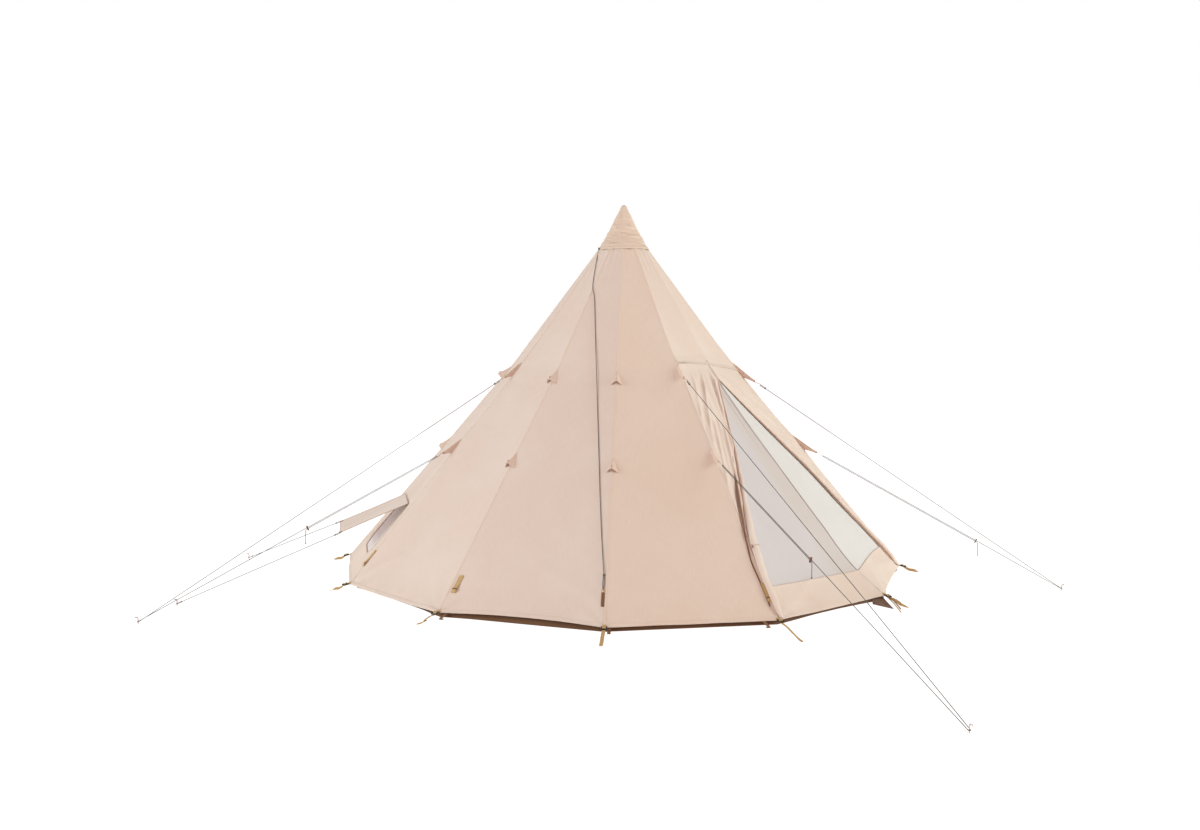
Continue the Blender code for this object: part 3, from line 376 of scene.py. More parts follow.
SEAM_WIDTH = 0.017
HEM_FOLD = 0.024
HEM_STITCHES, SEAM_STITCHES = (0.004, HEM_FOLD - 0.003), (0.003, SEAM_WIDTH - 0.003)
panel_canvas = cloth_material("canvas", CREAM, BLUSH, HEM_STITCHES, swap=True)
shaded_panel_canvas = cloth_material("canvas, painted shade", SHADED_CREAM, SHADED_BLUSH, HEM_STITCHES, swap=True)
seam_canvas = cloth_material("seam canvas", (0.760, 0.600, 0.490, 1), BLUSH, SEAM_STITCHES)
# A lighter copy of the canvas for the awning, whose upturned face catches more light: a painted light.
lit_awning_canvas = cloth_material("awning canvas, painted light", (0.82, 0.70, 0.61, 1), (0.80, 0.66, 0.57, 1))
zip_canvas = cloth_material("zip tape", (0.66, 0.575, 0.515, 1), (0.68, 0.60, 0.55, 1), threads=1400.0)
# A darker, browner copy of the canvas for the tabs: a painted shade.
shaded_tab_canvas = cloth_material("tab canvas, painted shade", (0.70, 0.525, 0.425, 1), (0.73, 0.56, 0.46, 1))
cap_canvas = cloth_material("cap canvas", (0.70, 0.535, 0.425, 1), (0.74, 0.575, 0.465, 1))
piping = cloth_material("piping", (0.46, 0.28, 0.19, 1), (0.56, 0.38, 0.28, 1), threads=1400.0)
ground_cloth = cloth_material("groundsheet cloth", (0.150, 0.068, 0.030, 1), (0.190, 0.094, 0.044, 1),
                              dusty=0.0)
print("cloth:", [material.name for material in bpy.data.materials if material.use_nodes])

# %% [markdown]
# The insect mesh is a fine grey net. From across a room the eye blends thread and gap, so most of
# the look is an even veil: a high alpha with a faint grid in it. Beside the zip the net is gathered
# into narrow pleats, over a strip of beige tape. Each half of the door carries an attribute that
# runs from 0 at its guyed seam to 1 at the zip, so that the material knows where the strip lies.

# %% Mesh material
NET = (0.705, 0.645, 0.645, 1)
TAPE_BEIGE = (0.70, 0.60, 0.53, 1)
NET_THREADS, NET_ALPHA, NET_GRID = 800.0, 0.86, 0.08


def net_material(name, colour, band=None, pleats=50.0):
    """Fine net; band is the range across the door where pleats and zip tape tint it."""
    material, tree, shader = new_material(name, roughness=0.75)
    weave = use_group(tree, "plain weave", {"Cloth": cloth_place(tree), "Threads": NET_THREADS})
    alpha = arithmetic(tree, "MULTIPLY_ADD", weave["Shade"], NET_GRID, NET_ALPHA)
    tint = use_group(tree, "soft mottling", {"Color": colour, "Second": TAPE_BEIGE, "Size": 0.4,
                                             "Amount": 0.10})["Color"]
    if band:
        place = add_node(tree, "Attribute", attribute_name="across").outputs["Fac"]
        far_end = arithmetic(tree, "SUBTRACT", 1.0, ramp(tree, place, band[1] - 0.02, band[1]))
        inside = times(tree, ramp(tree, place, band[0], band[0] + 0.08), far_end)
        lines = arithmetic(tree, "SINE", times(tree, place, 2 * pi * pleats))
        lines = arithmetic(tree, "MULTIPLY_ADD", lines, 0.38, 0.50)
        tint = mixed(tree, times(tree, inside, lines), tint, TAPE_BEIGE)
    tree.links.new(tint, shader.inputs["Base Color"])
    tree.links.new(alpha, shader.inputs["Alpha"])
    add_bump(tree, shader, weave["Height"], 0.0003, 0.4)
    return material


left_net = net_material("insect net, left half", NET, band=(0.74, 0.99))
right_net = net_material("insect net, right half", (0.78, 0.74, 0.72, 1), band=(0.93, 1.02))
# The window's net is its own pale grey brightened well above the door nets, to stand in for light from the
# tent's lit inside: a painted light.
window_net = net_material("insect net, window, painted inside light", (0.90, 0.865, 0.87, 1))
print("nets:", left_net.name, "|", right_net.name, "|", window_net.name)

# %% [markdown]
# Webbing is a golden cotton tape, rope a dark braid. Steel hooks are galvanised and pinkish in this
# warm light, the pole is brushed, the runners are brown, the vent cord's ring is brass and the
# buckles are black plastic.

# %% Webbing, rope, metal and plastic
def patterned_material(name, base, group, inputs, dark, depth):
    """Cord or webbing: its grooves get a painted shade from the group's height, which also drives the bump.
    """
    material, tree, shader = new_material(name, roughness=0.8)
    label = "Cord" if group == "braid" else "Cloth"
    height = use_group(tree, group, {label: cloth_place(tree), **inputs})["Height"]
    # Painted shade: the colour goes towards the dark colour where the height is low, in the grooves between
    # ribs and strands.
    colour = mixed(tree, arithmetic(tree, "MULTIPLY_ADD", height, -0.55, 0.55), base, dark)
    colour = use_group(tree, "ground dust", {"Color": colour, "Dust": DUST, "Reach": 0.06,
                                             "Amount": 0.25})["Color"]
    tree.links.new(colour, shader.inputs["Base Color"])
    add_bump(tree, shader, height, depth, 0.8)
    return material


def worn_material(name, base, grime, least, most, metallic, size=0.02, specular=0.5):
    """Metal or plastic with patchy roughness."""
    material, tree, shader = new_material(name, metallic=metallic, specular=specular)
    wear = use_group(tree, "outdoor wear", {"Size": size, "Least": least, "Most": most})
    colour = mixed(tree, times(tree, wear["Grime"], 0.6), base, grime)
    tree.links.new(colour, shader.inputs["Base Color"])
    tree.links.new(wear["Roughness"], shader.inputs["Roughness"])
    add_bump(tree, shader, wear["Roughness"], 0.0003, 0.25)
    return material


RIBS = {"Ribs": 620.0}
webbing = patterned_material("golden webbing", (0.68, 0.46, 0.21, 1), "webbing ribs", RIBS,
                             (0.46, 0.29, 0.12, 1), 0.0005)
brown_tape = patterned_material("brown tape", (0.26, 0.125, 0.065, 1), "webbing ribs", RIBS,
                                (0.16, 0.08, 0.045, 1), 0.0005)
rope = patterned_material("dark rope", (0.150, 0.135, 0.128, 1), "braid", {"Strand": 0.0042},
                          (0.055, 0.048, 0.045, 1), 0.0004)
steel = worn_material("galvanised steel", (0.60, 0.47, 0.42, 1), (0.30, 0.20, 0.17, 1),
                      0.28, 0.5, metallic=1.0, size=0.006)
pole_metal = worn_material("brushed pole", (0.62, 0.62, 0.60, 1), (0.40, 0.39, 0.37, 1),
                           0.3, 0.45, metallic=1.0, size=0.05)
brown_metal = worn_material("brown runner", (0.23, 0.105, 0.060, 1), (0.10, 0.05, 0.03, 1),
                            0.35, 0.6, metallic=0.6, size=0.008)
black_plastic = worn_material("black plastic", (0.012, 0.011, 0.011, 1), (0.04, 0.035, 0.03, 1),
                              0.35, 0.6, metallic=0.0, size=0.01)
brass = worn_material("brass", (0.66, 0.43, 0.18, 1), (0.30, 0.17, 0.07, 1),
                      0.22, 0.45, metallic=1.0, size=0.004)
print("hard finishes:", steel.name, pole_metal.name, brown_metal.name, black_plastic.name, brass.name)

# %% [markdown]
# A white paper floor in a studio is lit until it is as white as the backdrop. Lighting it that hard
# would spill on to the tent, so the paint here is a middling grey that glows: light from the boxes
# and its own glow add up to white, and little of it bounces back.

# %% Floor
FLOOR_HALF, FLOOR_DROP, FLOOR_GLOW = 60.0, 0.001, 0.94
floor_paint = worn_material("floor paint", (0.34, 0.34, 0.34, 1), (0.32, 0.32, 0.32, 1),
                            0.7, 0.8, metallic=0.0, size=1.5, specular=0.1)
FLOOR_SHADER = floor_paint.node_tree.nodes["Principled BSDF"]
FLOOR_SHADER.inputs["Emission Color"].default_value = (1, 1, 1, 1)
FLOOR_SHADER.inputs["Emission Strength"].default_value = FLOOR_GLOW

mesh = bpy.data.meshes.new("studio_floor")
corners = [(x * FLOOR_HALF, y * FLOOR_HALF, -FLOOR_DROP) for x, y in ((-1, -1), (1, -1), (1, 1), (-1, 1))]
mesh.from_pydata(corners, [], [(0, 1, 2, 3)])
floor = bpy.data.objects.new("studio_floor", mesh)
bpy.context.scene.collection.objects.link(floor)
mesh.materials.append(floor_paint)
print("floor is", 2 * FLOOR_HALF, "m wide")

# %% [markdown]
# The canvas is easiest to think of as surfaces between seams. A seam is a straight line from its
# hem corner to the crown, with one slight bend at the height of the upper tabs. A panel is what
# lies between two seams: t runs across it from 0 to 1, z up it. Everything sewn to the tent is
# placed with these functions, so it follows the cloth wherever the cloth goes.

# %% Seams and walls
SEAM_STEP = 30.0
CORNER_RADIUS, HEM_HEIGHT = 2.0, 0.030
BEND_RADIUS, BEND_HEIGHT = 0.791, 1.449
RIM_RADIUS, RIM_HEIGHT = 0.1787, 2.271
CROWN_RADIUS = 0.045
LOWER_SLOPE = (CORNER_RADIUS - BEND_RADIUS) / (BEND_HEIGHT - HEM_HEIGHT)
UPPER_SLOPE = (BEND_RADIUS - RIM_RADIUS) / (RIM_HEIGHT - BEND_HEIGHT)
CROWN_HEIGHT = BEND_HEIGHT + (BEND_RADIUS - CROWN_RADIUS) / UPPER_SLOPE
ALONG_SLOPE = (1 + LOWER_SLOPE ** 2) ** 0.5
DOOR_SLACK = [(HEM_HEIGHT, 0.0), (0.17, 0.070), (0.45, 0.088), (0.8, 0.096), (1.1, 0.098), (1.42, 0.080),
              (1.85, 0.030), (RIM_HEIGHT, 0.0), (CROWN_HEIGHT, 0.0)]


def direction(angle):
    """Level unit vector away from the pole; 0 degrees is the middle of the door."""
    return np.array([sin(radians(angle)), -cos(radians(angle)), 0.0])


def curve_through(table, x):
    """Smooth curve through a table of (x, value) pairs, flat beyond its ends."""
    xs, ys = np.array(table, float).T
    slopes = np.gradient(ys, xs)
    x = np.clip(x, xs[0], xs[-1])
    i = np.clip(np.searchsorted(xs, x, side="right") - 1, 0, len(xs) - 2)
    step = xs[i + 1] - xs[i]
    s = (x - xs[i]) / step
    return ((1 + 2 * s) * (1 - s) ** 2 * ys[i] + s * (1 - s) ** 2 * step * slopes[i]
            + s * s * (3 - 2 * s) * ys[i + 1] + s * s * (s - 1) * step * slopes[i + 1])


def seam_radius(z):
    """Radius of a taut seam at height z."""
    lower = CORNER_RADIUS - (z - HEM_HEIGHT) * LOWER_SLOPE
    return np.where(z < BEND_HEIGHT, lower, BEND_RADIUS - (z - BEND_HEIGHT) * UPPER_SLOPE)


def seam_line(angle, z):
    """Points of a seam; the door's middle seam hangs slack, inside the others."""
    z = np.asarray(z, float)
    radius = seam_radius(z)
    if angle == 0:
        radius = radius - curve_through(DOOR_SLACK, z)
    return direction(angle) * radius[..., None] + z[..., None] * UP


def unit(vectors):
    """Vectors of length 1."""
    return vectors / np.maximum(np.linalg.norm(vectors, axis=-1, keepdims=True), 1e-12)


def wall(left, right, t, z):
    """Points between two seams, their outward normals, and the wall's width there."""
    step = 0.003
    low, high = seam_line(left, z), seam_line(right, z)
    share = np.asarray(t, float)[..., None]
    rise = (1 - share) * (seam_line(left, z + step) - seam_line(left, z - step))
    rise = rise + share * (seam_line(right, z + step) - seam_line(right, z - step))
    return low + (high - low) * share, unit(np.cross(high - low, rise)), np.linalg.norm(high - low, axis=-1)


def panel_centre(middle, z):
    """Point and outward normal halfway across a panel."""
    return wall(middle - SEAM_STEP / 2, middle + SEAM_STEP / 2, np.array(0.5), np.array(z))[:2]


def panel_width(middle, z):
    """Straight width at height z of the panel whose middle faces that angle."""
    low, high = seam_line(middle - SEAM_STEP / 2, z), seam_line(middle + SEAM_STEP / 2, z)
    return np.linalg.norm(high - low, axis=-1)


def smoothstep(x):
    """0 below 0, 1 above 1, smooth between."""
    x = np.clip(x, 0, 1)
    return x * x * (3 - 2 * x)


print("crown at", round(CROWN_HEIGHT, 3), "m; a panel is", round(float(panel_width(15, HEM_HEIGHT)), 3),
      "m wide at the hem")

# %% [markdown]
# Taut canvas is not flat. Between two ridges it hollows a few millimetres inwards, under the cap it
# gathers into small upright folds, and at each guyed tab it is drawn out to a point with creases
# that fan away down the cloth. One function adds these up as a height above the flat panel. They
# die out at the seams, so that neighbouring panels still meet. Lengths and heights are in metres.

# %% Relief of the canvas
HOLLOW = 0.010
LONG_WAVES, SHORT_WAVES = (0.42, 0.0023), (0.11, 0.0004)
GATHER_START, GATHER_WIDTH, GATHER_HEIGHT = 2.02, 0.042, 0.0016
CORNER_FOLDS, CORNER_REACH, CORNER_HEIGHT = 9, 0.13, 0.0045
DOOR_HEM_BOW, DOOR_BOW_REACH = 0.030, 0.10


def rolling(seed, x, z, size, amount, waves=7):
    """Low rolling waves, longer up the cloth than across it."""
    draw = np.random.default_rng(int(seed))
    total = np.zeros(np.broadcast(x, z).shape)
    for _ in range(waves):
        turn = draw.normal(0, 0.35)
        length = size * draw.uniform(0.6, 1.8)
        phase = draw.uniform(0, 2 * pi)
        total = total + np.sin(2 * pi * (x * cos(turn) + 0.35 * z * sin(turn)) / length + phase)
    return total * amount / waves ** 0.5


def fold_line(x, z, x0, z0, x1, z1, width, height):
    """One soft fold from (x0, z0) to (x1, z1) on the panel; a negative height is a valley."""
    run = (x1 - x0) ** 2 + (z1 - z0) ** 2
    s = np.clip(((x - x0) * (x1 - x0) + (z - z0) * (z1 - z0)) / run, -0.2, 1.2)
    away = np.hypot(x - x0 - s * (x1 - x0), z - z0 - s * (z1 - z0))
    ends = smoothstep((s + 0.2) / 0.25) * smoothstep((1.2 - s) / 0.25)
    return height * ends * np.exp(-(away / width) ** 2)


DRAG_FOLDS = {-75: [(0.030, 1.97, 0.315, 1.545, 0.010, 0.0035),
                    (0.055, 1.95, 0.330, 1.50, 0.009, -0.002),
                    (0.52, 0.30, 0.93, 0.16, 0.020, 0.003), (0.62, 0.40, 0.93, 0.18, 0.016, -0.002)],
              -45: [(0.06, 0.19, 0.32, 0.29, 0.018, 0.003), (0.10, 1.42, 0.34, 1.20, 0.020, 0.002)],
              -105: [(0.30, 0.26, 0.06, 0.10, 0.022, 0.003)],
              -15: [(0.10, 0.06, 0.46, 0.19, 0.018, 0.003)],
              15: [(0.92, 0.07, 0.55, 0.13, 0.020, 0.004)],
              75: [(0.08, 1.95, 0.25, 1.62, 0.010, 0.003)],
              105: [(0.20, 0.90, 0.44, 0.70, 0.02, 0.003)]}


def relief(middle, t, z, width):
    """Height of the canvas above the flat panel whose middle faces that angle."""
    x = t * width
    edge = np.minimum(x, width - x)
    inside = smoothstep(edge / np.minimum(0.16, 0.45 * width))
    rise = np.clip((z - HEM_HEIGHT) / (CROWN_HEIGHT - HEM_HEIGHT), 0, 1)
    height = -HOLLOW * 4 * t * (1 - t) * np.sin(pi * rise) ** 0.7
    height = height + inside * rolling(middle + 400, x - width / 2, z, *LONG_WAVES)
    height = height + inside * rolling(middle + 900, x - width / 2, z, *SHORT_WAVES)
    gathers = smoothstep((z - GATHER_START) / 0.22) * smoothstep(edge / 0.03)
    height = height + GATHER_HEIGHT * gathers * np.sin(2 * pi * (x - width / 2) / GATHER_WIDTH + middle)
    for corner in (x, width - x):
        away = np.hypot(corner, (z - HEM_HEIGHT) * ALONG_SLOPE)
        fan = np.arctan2((z - HEM_HEIGHT) * ALONG_SLOPE, corner + 1e-6)
        folds = np.exp(-away / CORNER_REACH) * smoothstep(away / 0.03) * smoothstep(corner / 0.02)
        height = height + CORNER_HEIGHT * folds * np.sin(CORNER_FOLDS * fan + middle * 0.3)
    if middle == 15:
        height = height - DOOR_HEM_BOW * 4 * t * (1 - t) * np.exp(-(z - HEM_HEIGHT) / DOOR_BOW_REACH)
    for fold in DRAG_FOLDS.get(middle, ()):
        height = height + inside * fold_line(x, z, *fold)
    return height


print("folds dragged into", len(DRAG_FOLDS), "panels; hollow of", 1000 * HOLLOW, "mm between seams")

# %% [markdown]
# Now the pull of the guys. A guy runs from its seam straight to its peg, and near its tab every
# point of the canvas is shifted a little that way. The shift fades with distance, further down the
# cloth than sideways, and a sine of the angle round the tab makes it crease.

# %% Pull of the guys
GUYED_SEAMS = (-30, 30, -120, 120)
TAB_HEIGHTS = (1.440, 0.922)
TAB_HALF_BASE = 0.062
TAB_PULL, PULL_REACH = 0.030, 0.085
PULL_CREASES, PULL_CREASE_DEPTH = 55, 0.10
GUY_PEGS = {-30: (-35.1, 3.928), 30: (18.4, 3.011), -120: (-112.5, 3.368), 120: (112.5, 3.368)}
TAB_REACH = {-30: 0.105, 30: 0.170, -120: 0.130, 120: 0.130}
PEG_LOOP_HEIGHT = 0.014


def guy_line(seam, centre):
    """Where a guy leaves its seam, and its direction towards the peg."""
    origin = seam_line(seam, centre)
    angle, radius = GUY_PEGS[seam]
    peg = direction(angle) * radius + UP * PEG_LOOP_HEIGHT
    return origin, unit(peg - origin)


def tab_pull(points):
    """Shift of points of the canvas towards the guyed tabs near them."""
    shift = np.zeros_like(points)
    for seam in GUYED_SEAMS:
        for centre in TAB_HEIGHTS:
            _, along = guy_line(seam, centre)
            low = seam_line(seam, centre - TAB_HALF_BASE / ALONG_SLOPE)
            span = seam_line(seam, centre + TAB_HALF_BASE / ALONG_SLOPE) - low
            s = np.clip((points - low) @ span / (span @ span), 0, 1)[..., None]
            offset = points - low - s * span
            away = np.linalg.norm(offset, axis=-1)
            sideways = offset @ np.cross(UP, direction(seam))
            below = np.clip(-(points - low) @ unit(span), 0, None)
            reach = PULL_REACH * (1 + 0.9 * smoothstep(below / 0.12))
            fan = np.sin(PULL_CREASES * np.arctan2(sideways, 0.05 + below))
            creases = 1 + PULL_CREASE_DEPTH * fan * smoothstep(away / 0.05)
            shift = shift + along * (TAB_PULL * np.exp(-away / reach) * creases)[..., None]
    return shift


def canvas_at(middle, t, z, lift=0.0):
    """Points of the finished canvas in the panel whose middle faces an angle, raised by lift."""
    t, z = np.broadcast_arrays(np.asarray(t, float), np.asarray(z, float))
    points, normals, width = wall(middle - SEAM_STEP / 2, middle + SEAM_STEP / 2, t, z)
    raised = points + normals * (relief(middle, t, z, width) + lift)[..., None]
    return raised + tab_pull(points)


hollow_at = canvas_at(75, 0.5, np.array([1.0]))[0] - wall(60, 90, 0.5, np.array([1.0]))[0][0]
print("a panel's middle stands", round(float(np.linalg.norm(hollow_at)) * 1000, 1), "mm off the flat")

# %% [markdown]
# Cloth is modelled here as a lattice: a table of points, with a matching table of UVs in metres.
# Thin sheets get their thickness from a Solidify modifier. Small thick things, such as webbing,
# are made as closed slabs straight away, so that several of them can share one object. A shape is
# always the same three things: points, faces and one UV pair for each point.

# %% Lattices and slabs
def lattice(points, uv, keep=None):
    """One-sided shape from a table of points; keep says which cells are cloth."""
    rows, columns = points.shape[:2]
    first = (np.arange(rows - 1)[:, None] * columns + np.arange(columns - 1)).astype(int)
    if keep is not None:
        first = first[keep]
    first = first.ravel()
    faces = np.stack([first, first + 1, first + columns + 1, first + columns], 1)
    used, renumbered = np.unique(faces, return_inverse=True)
    faces = renumbered.reshape(-1, 4)
    return points.reshape(-1, 3)[used], faces.tolist(), uv.reshape(-1, 2)[used]


def lattice_normals(points):
    """Outward unit normals of a table of points."""
    across = np.gradient(points, axis=1)
    along = np.gradient(points, axis=0)
    return unit(np.cross(across, along))


def slab(points, uv, thickness):
    """Closed shape: the table of points as its outer face, and a copy of it sunk inwards."""
    rows, columns = points.shape[:2]
    size = rows * columns
    back = points - lattice_normals(points) * thickness
    _, front_faces, _ = lattice(points, uv)
    faces = front_faces + [tuple(i + size for i in reversed(face)) for face in front_faces]
    index = np.arange(size).reshape(rows, columns)
    rim = np.concatenate([index[0, :-1], index[:-1, -1], index[-1, :0:-1], index[:0:-1, 0]])
    for a, b in zip(rim, np.roll(rim, -1)):
        faces.append((int(b), int(a), int(a) + size, int(b) + size))
    points = np.concatenate([points.reshape(-1, 3), back.reshape(-1, 3)])
    return points, faces, np.tile(uv.reshape(-1, 2), (2, 1))


FLAT = np.stack([*np.meshgrid(np.arange(3.0), np.arange(3.0)), np.zeros((3, 3))], -1)
print("a slab of 2 by 2 cells has", len(slab(FLAT, FLAT[..., :2], 0.1)[1]), "faces")

# %% [markdown]
# Round things are tubes swept along a path. The ring of points travels along it without twisting,
# and a lattice closed on itself joins the rings. A torus does for eyelets, and a Catmull-Rom curve
# turns a handful of places into a smooth path.

# %% Tubes, rings and paths
def capped(shape, columns):
    """Close a lattice round on itself, its last column on its first, and cap both its ends."""
    points, faces, uv = shape
    last = len(points) - columns
    same = {start + columns - 1: start for start in range(0, len(points), columns)}
    closed = [tuple(same.get(i, i) for i in face) for face in faces]
    closed.append(tuple(range(columns - 2, -1, -1)))
    closed.append(tuple(last + i for i in range(columns - 1)))
    return points, closed, uv


def run_along(path):
    """Distance from the start of a path to each of its points."""
    return np.concatenate([[0], np.cumsum(np.linalg.norm(np.diff(path, axis=0), axis=1))])


def sweep_frames(path, hint):
    """Unit sideways and upward vectors that travel along a path without twisting."""
    ahead = unit(np.gradient(path, axis=0))
    side = np.cross(hint, ahead[0])
    if np.linalg.norm(side) < 1e-6:
        side = np.cross(np.array([1.0, 0.0, 0.0]), ahead[0])
    sides = [unit(side)]
    for forward in ahead[1:]:
        carried = sides[-1] - forward * (sides[-1] @ forward)
        sides.append(unit(carried))
    sides = np.array(sides)
    return sides, np.cross(ahead, sides)


def tube(path, radius, sides=10, flat=1.0, hint=UP):
    """Closed tube along a path; flat below 1 squashes it in the hint's direction."""
    path = np.asarray(path, float)
    radius = np.broadcast_to(np.asarray(radius, float), (len(path),))
    sideways, upward = sweep_frames(path, hint)
    turn = 2 * pi * np.arange(sides + 1) / sides
    circle = (np.cos(turn)[None, :, None] * sideways[:, None]
              + flat * np.sin(turn)[None, :, None] * upward[:, None])
    points = path[:, None] + radius[:, None, None] * circle
    uv = np.stack(np.broadcast_arrays(turn[None] * radius.mean(), run_along(path)[:, None]), -1)
    return capped(lattice(points, uv), sides + 1)


def square_axes(axis):
    """Unit vector along an axis, and two more square to it."""
    axis = unit(np.asarray(axis, float))
    x = unit(np.cross(axis, UP if abs(axis[2]) < 0.9 else np.array([1.0, 0.0, 0.0])))
    return axis, x, np.cross(axis, x)


def ring(centre, axis, major, minor, steps=24, sides=8):
    """Torus: a tube closed on itself."""
    axis, x, y = square_axes(axis)
    points, faces, uvs = [], [], []
    for i in range(steps):
        out = x * cos(2 * pi * i / steps) + y * sin(2 * pi * i / steps)
        for j in range(sides):
            turn = 2 * pi * j / sides
            points.append(centre + out * (major + minor * cos(turn)) + axis * minor * sin(turn))
            uvs.append((i * 2 * pi * major / steps, j * 2 * pi * minor / sides))
            a, b = i * sides + j, i * sides + (j + 1) % sides
            c, d = ((i + 1) % steps) * sides + j, ((i + 1) % steps) * sides + (j + 1) % sides
            faces.append((a, c, d, b))
    return np.array(points), faces, np.array(uvs)


def smooth_path(points, steps=8):
    """Catmull-Rom curve through points."""
    points = np.asarray(points, float)
    ends = np.concatenate([[2 * points[0] - points[1]], points, [2 * points[-1] - points[-2]]])
    run = []
    for a, b, c, d in zip(ends, ends[1:], ends[2:], ends[3:]):
        s = np.linspace(0, 1, steps, endpoint=False)[:, None]
        run.append(0.5 * (2 * b + (c - a) * s + (2 * a - 5 * b + 4 * c - d) * s ** 2
                          + (3 * b - a - 3 * c + d) * s ** 3))
    return np.concatenate(run + [points[-1:]])


print("a curve through 3 points has", len(smooth_path(np.eye(3))), "places")

# %% [markdown]
# A ribbon is webbing: a slab along a path, with its back a little arched. The last two helpers turn
# shapes into objects.

# %% Ribbons, pieces and holes
def ribbon(path, sideways, width, thickness, columns=5, crown=0.0):
    """Closed strip of webbing along a path; sideways points across it, crown arches its back."""
    path = np.asarray(path, float)
    sideways = unit(np.broadcast_to(np.asarray(sideways, float), path.shape))
    width = np.broadcast_to(np.asarray(width, float), (len(path),))
    ahead = unit(np.gradient(path, axis=0))
    normal = unit(np.cross(sideways, ahead))
    s = np.linspace(-0.5, 0.5, columns)
    across = s[None, :, None] * width[:, None, None] * sideways[:, None]
    arch = crown * (1 - 4 * s ** 2)[None, :, None] * normal[:, None]
    uv = np.stack(np.broadcast_arrays(s[None] * width.mean(), run_along(path)[:, None]), -1)
    return slab(path[:, None] + across + arch, uv, thickness)


def make_piece(name, parts, stands_for=(), thickness=0.0, sharp=50, attribute=None):
    """Object from (shape, material) parts; it rides on the tent and takes the nodes' place."""
    points, faces, uvs, paint, materials = [], [], [], [], []
    start = 0
    for (part_points, part_faces, part_uv), material in parts:
        if material not in materials:
            materials.append(material)
        points.append(part_points)
        uvs.append(part_uv)
        faces += [tuple(i + start for i in face) for face in part_faces]
        paint += [materials.index(material)] * len(part_faces)
        start += len(part_points)
    mesh = bpy.data.meshes.new(name)
    mesh.from_pydata(np.concatenate(points).tolist(), [], faces)
    layer = mesh.uv_layers.new(name="UVMap")
    corners = np.empty(len(mesh.loops), int)
    mesh.loops.foreach_get("vertex_index", corners)
    layer.data.foreach_set("uv", np.concatenate(uvs)[corners].astype(np.float32).ravel())
    if attribute is not None:
        stored = mesh.attributes.new("across", "FLOAT", "POINT")
        stored.data.foreach_set("value", np.asarray(attribute, np.float32))
    for material in materials:
        mesh.materials.append(material)
    mesh.polygons.foreach_set("material_index", paint)
    mesh.shade_smooth()
    mesh.set_sharp_from_angle(angle=radians(sharp))
    piece = bpy.data.objects.new(name, mesh)
    bpy.context.scene.collection.objects.link(piece)
    if thickness:
        solid = piece.modifiers.new("thickness", "SOLIDIFY")
        solid.thickness = thickness
        solid.offset = -1
    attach(piece, "root")
    if stands_for:
        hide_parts(*stands_for)
    return piece


def cut_holes(piece, cutters):
    """Cut closed shapes out of a piece, and keep the result as its mesh."""
    for shape in cutters:
        mesh = bpy.data.meshes.new("cutter")
        mesh.from_pydata(shape[0].tolist(), [], shape[1])
        cutter = bpy.data.objects.new("cutter", mesh)
        bpy.context.scene.collection.objects.link(cutter)
        cut = piece.modifiers.new("cut", "BOOLEAN")
        cut.operation = "DIFFERENCE"
        cut.solver = "EXACT"
        cut.object = cutter
        bpy.context.view_layer.update()
        graph = bpy.context.evaluated_depsgraph_get()
        result = bpy.data.meshes.new_from_object(piece.evaluated_get(graph))
        old = piece.data
        piece.modifiers.clear()
        piece.data = result
        result.name = old.name
        bpy.data.meshes.remove(old)
        bpy.data.objects.remove(cutter)
        bpy.data.meshes.remove(mesh)


SHORT_PATH = np.array([[0.0, 0.0, 0.0], [0.1, 0.0, 0.0]])
print("a ribbon along 2 places has", len(ribbon(SHORT_PATH, [0, 1, 0], 0.02, 0.002)[0]), "points")

# %% [markdown]
# The plain panels. On the real tent each is one cut of cotton canvas, a long triangle without its
# tip, hemmed at the ground. The hem is folded double, so the cloth steps up by its own thickness
# there, and the lattice has two rows close together to carry that step. Between two corner straps
# most hems lift off the ground in a shallow arch, and a few sag a little.

# %% Plain panels
CLOTH = 0.0012
HEM_STEP = 0.0006
HEM_RISE = 0.008
HEM_RISES = {-75: 0.014, -45: -0.001, -105: -0.005, -135: -0.006, -15: -0.001, 15: 0.004}
PANEL_COLUMNS, PANEL_ROWS = 44, 150
PANEL_NODES = {-45: "canvas_front_left", -75: "canvas_left_front", -105: "canvas_left_back",
               -165: "canvas_rear_left", 165: "canvas_rear_right", 135: "canvas_back_right",
               105: "canvas_right_back", 75: "canvas_right_front", 45: "canvas_front_right"}


def hem_height(middle, t):
    """Height of a panel's lower edge."""
    return HEM_HEIGHT + HEM_RISES.get(middle, HEM_RISE) * 4 * t * (1 - t)


def seam_columns(count):
    """Places across a panel, closer together beside the seams."""
    s = np.linspace(0, 1, count)
    return 0.6 * s + 0.4 * (0.5 - 0.5 * np.cos(pi * s))


def hem_rows(length, count):
    """Distances up a panel from its hem, with two rows at the edge of the folded hem."""
    fold = np.array([0, 0.004, 0.012, HEM_FOLD - 0.001, HEM_FOLD + 0.0005])
    return np.concatenate([fold, np.linspace(HEM_FOLD + 0.008, length, count)])


def cloth_uv(middle, t, z, bottom):
    """UV in metres: across the panel from its middle, and up the slope from its lower edge."""
    return np.stack([(t - 0.5) * panel_width(middle, z), (z - bottom) * ALONG_SLOPE], -1)


def hemmed(distance, fold=HEM_FOLD):
    """Lift of the doubled band along an edge."""
    return HEM_STEP * (distance < fold)


def panel_lattice(middle):
    """Points and UVs of one plain panel."""
    rise = hem_rows((CROWN_HEIGHT - HEM_HEIGHT) * ALONG_SLOPE, PANEL_ROWS)
    t, distance = np.meshgrid(seam_columns(PANEL_COLUMNS), rise / rise[-1])
    bottom = hem_height(middle, t)
    z = bottom + distance * (CROWN_HEIGHT - bottom)
    points = canvas_at(middle, t, z, hemmed(distance * rise[-1]))
    return points, cloth_uv(middle, t, z, bottom)


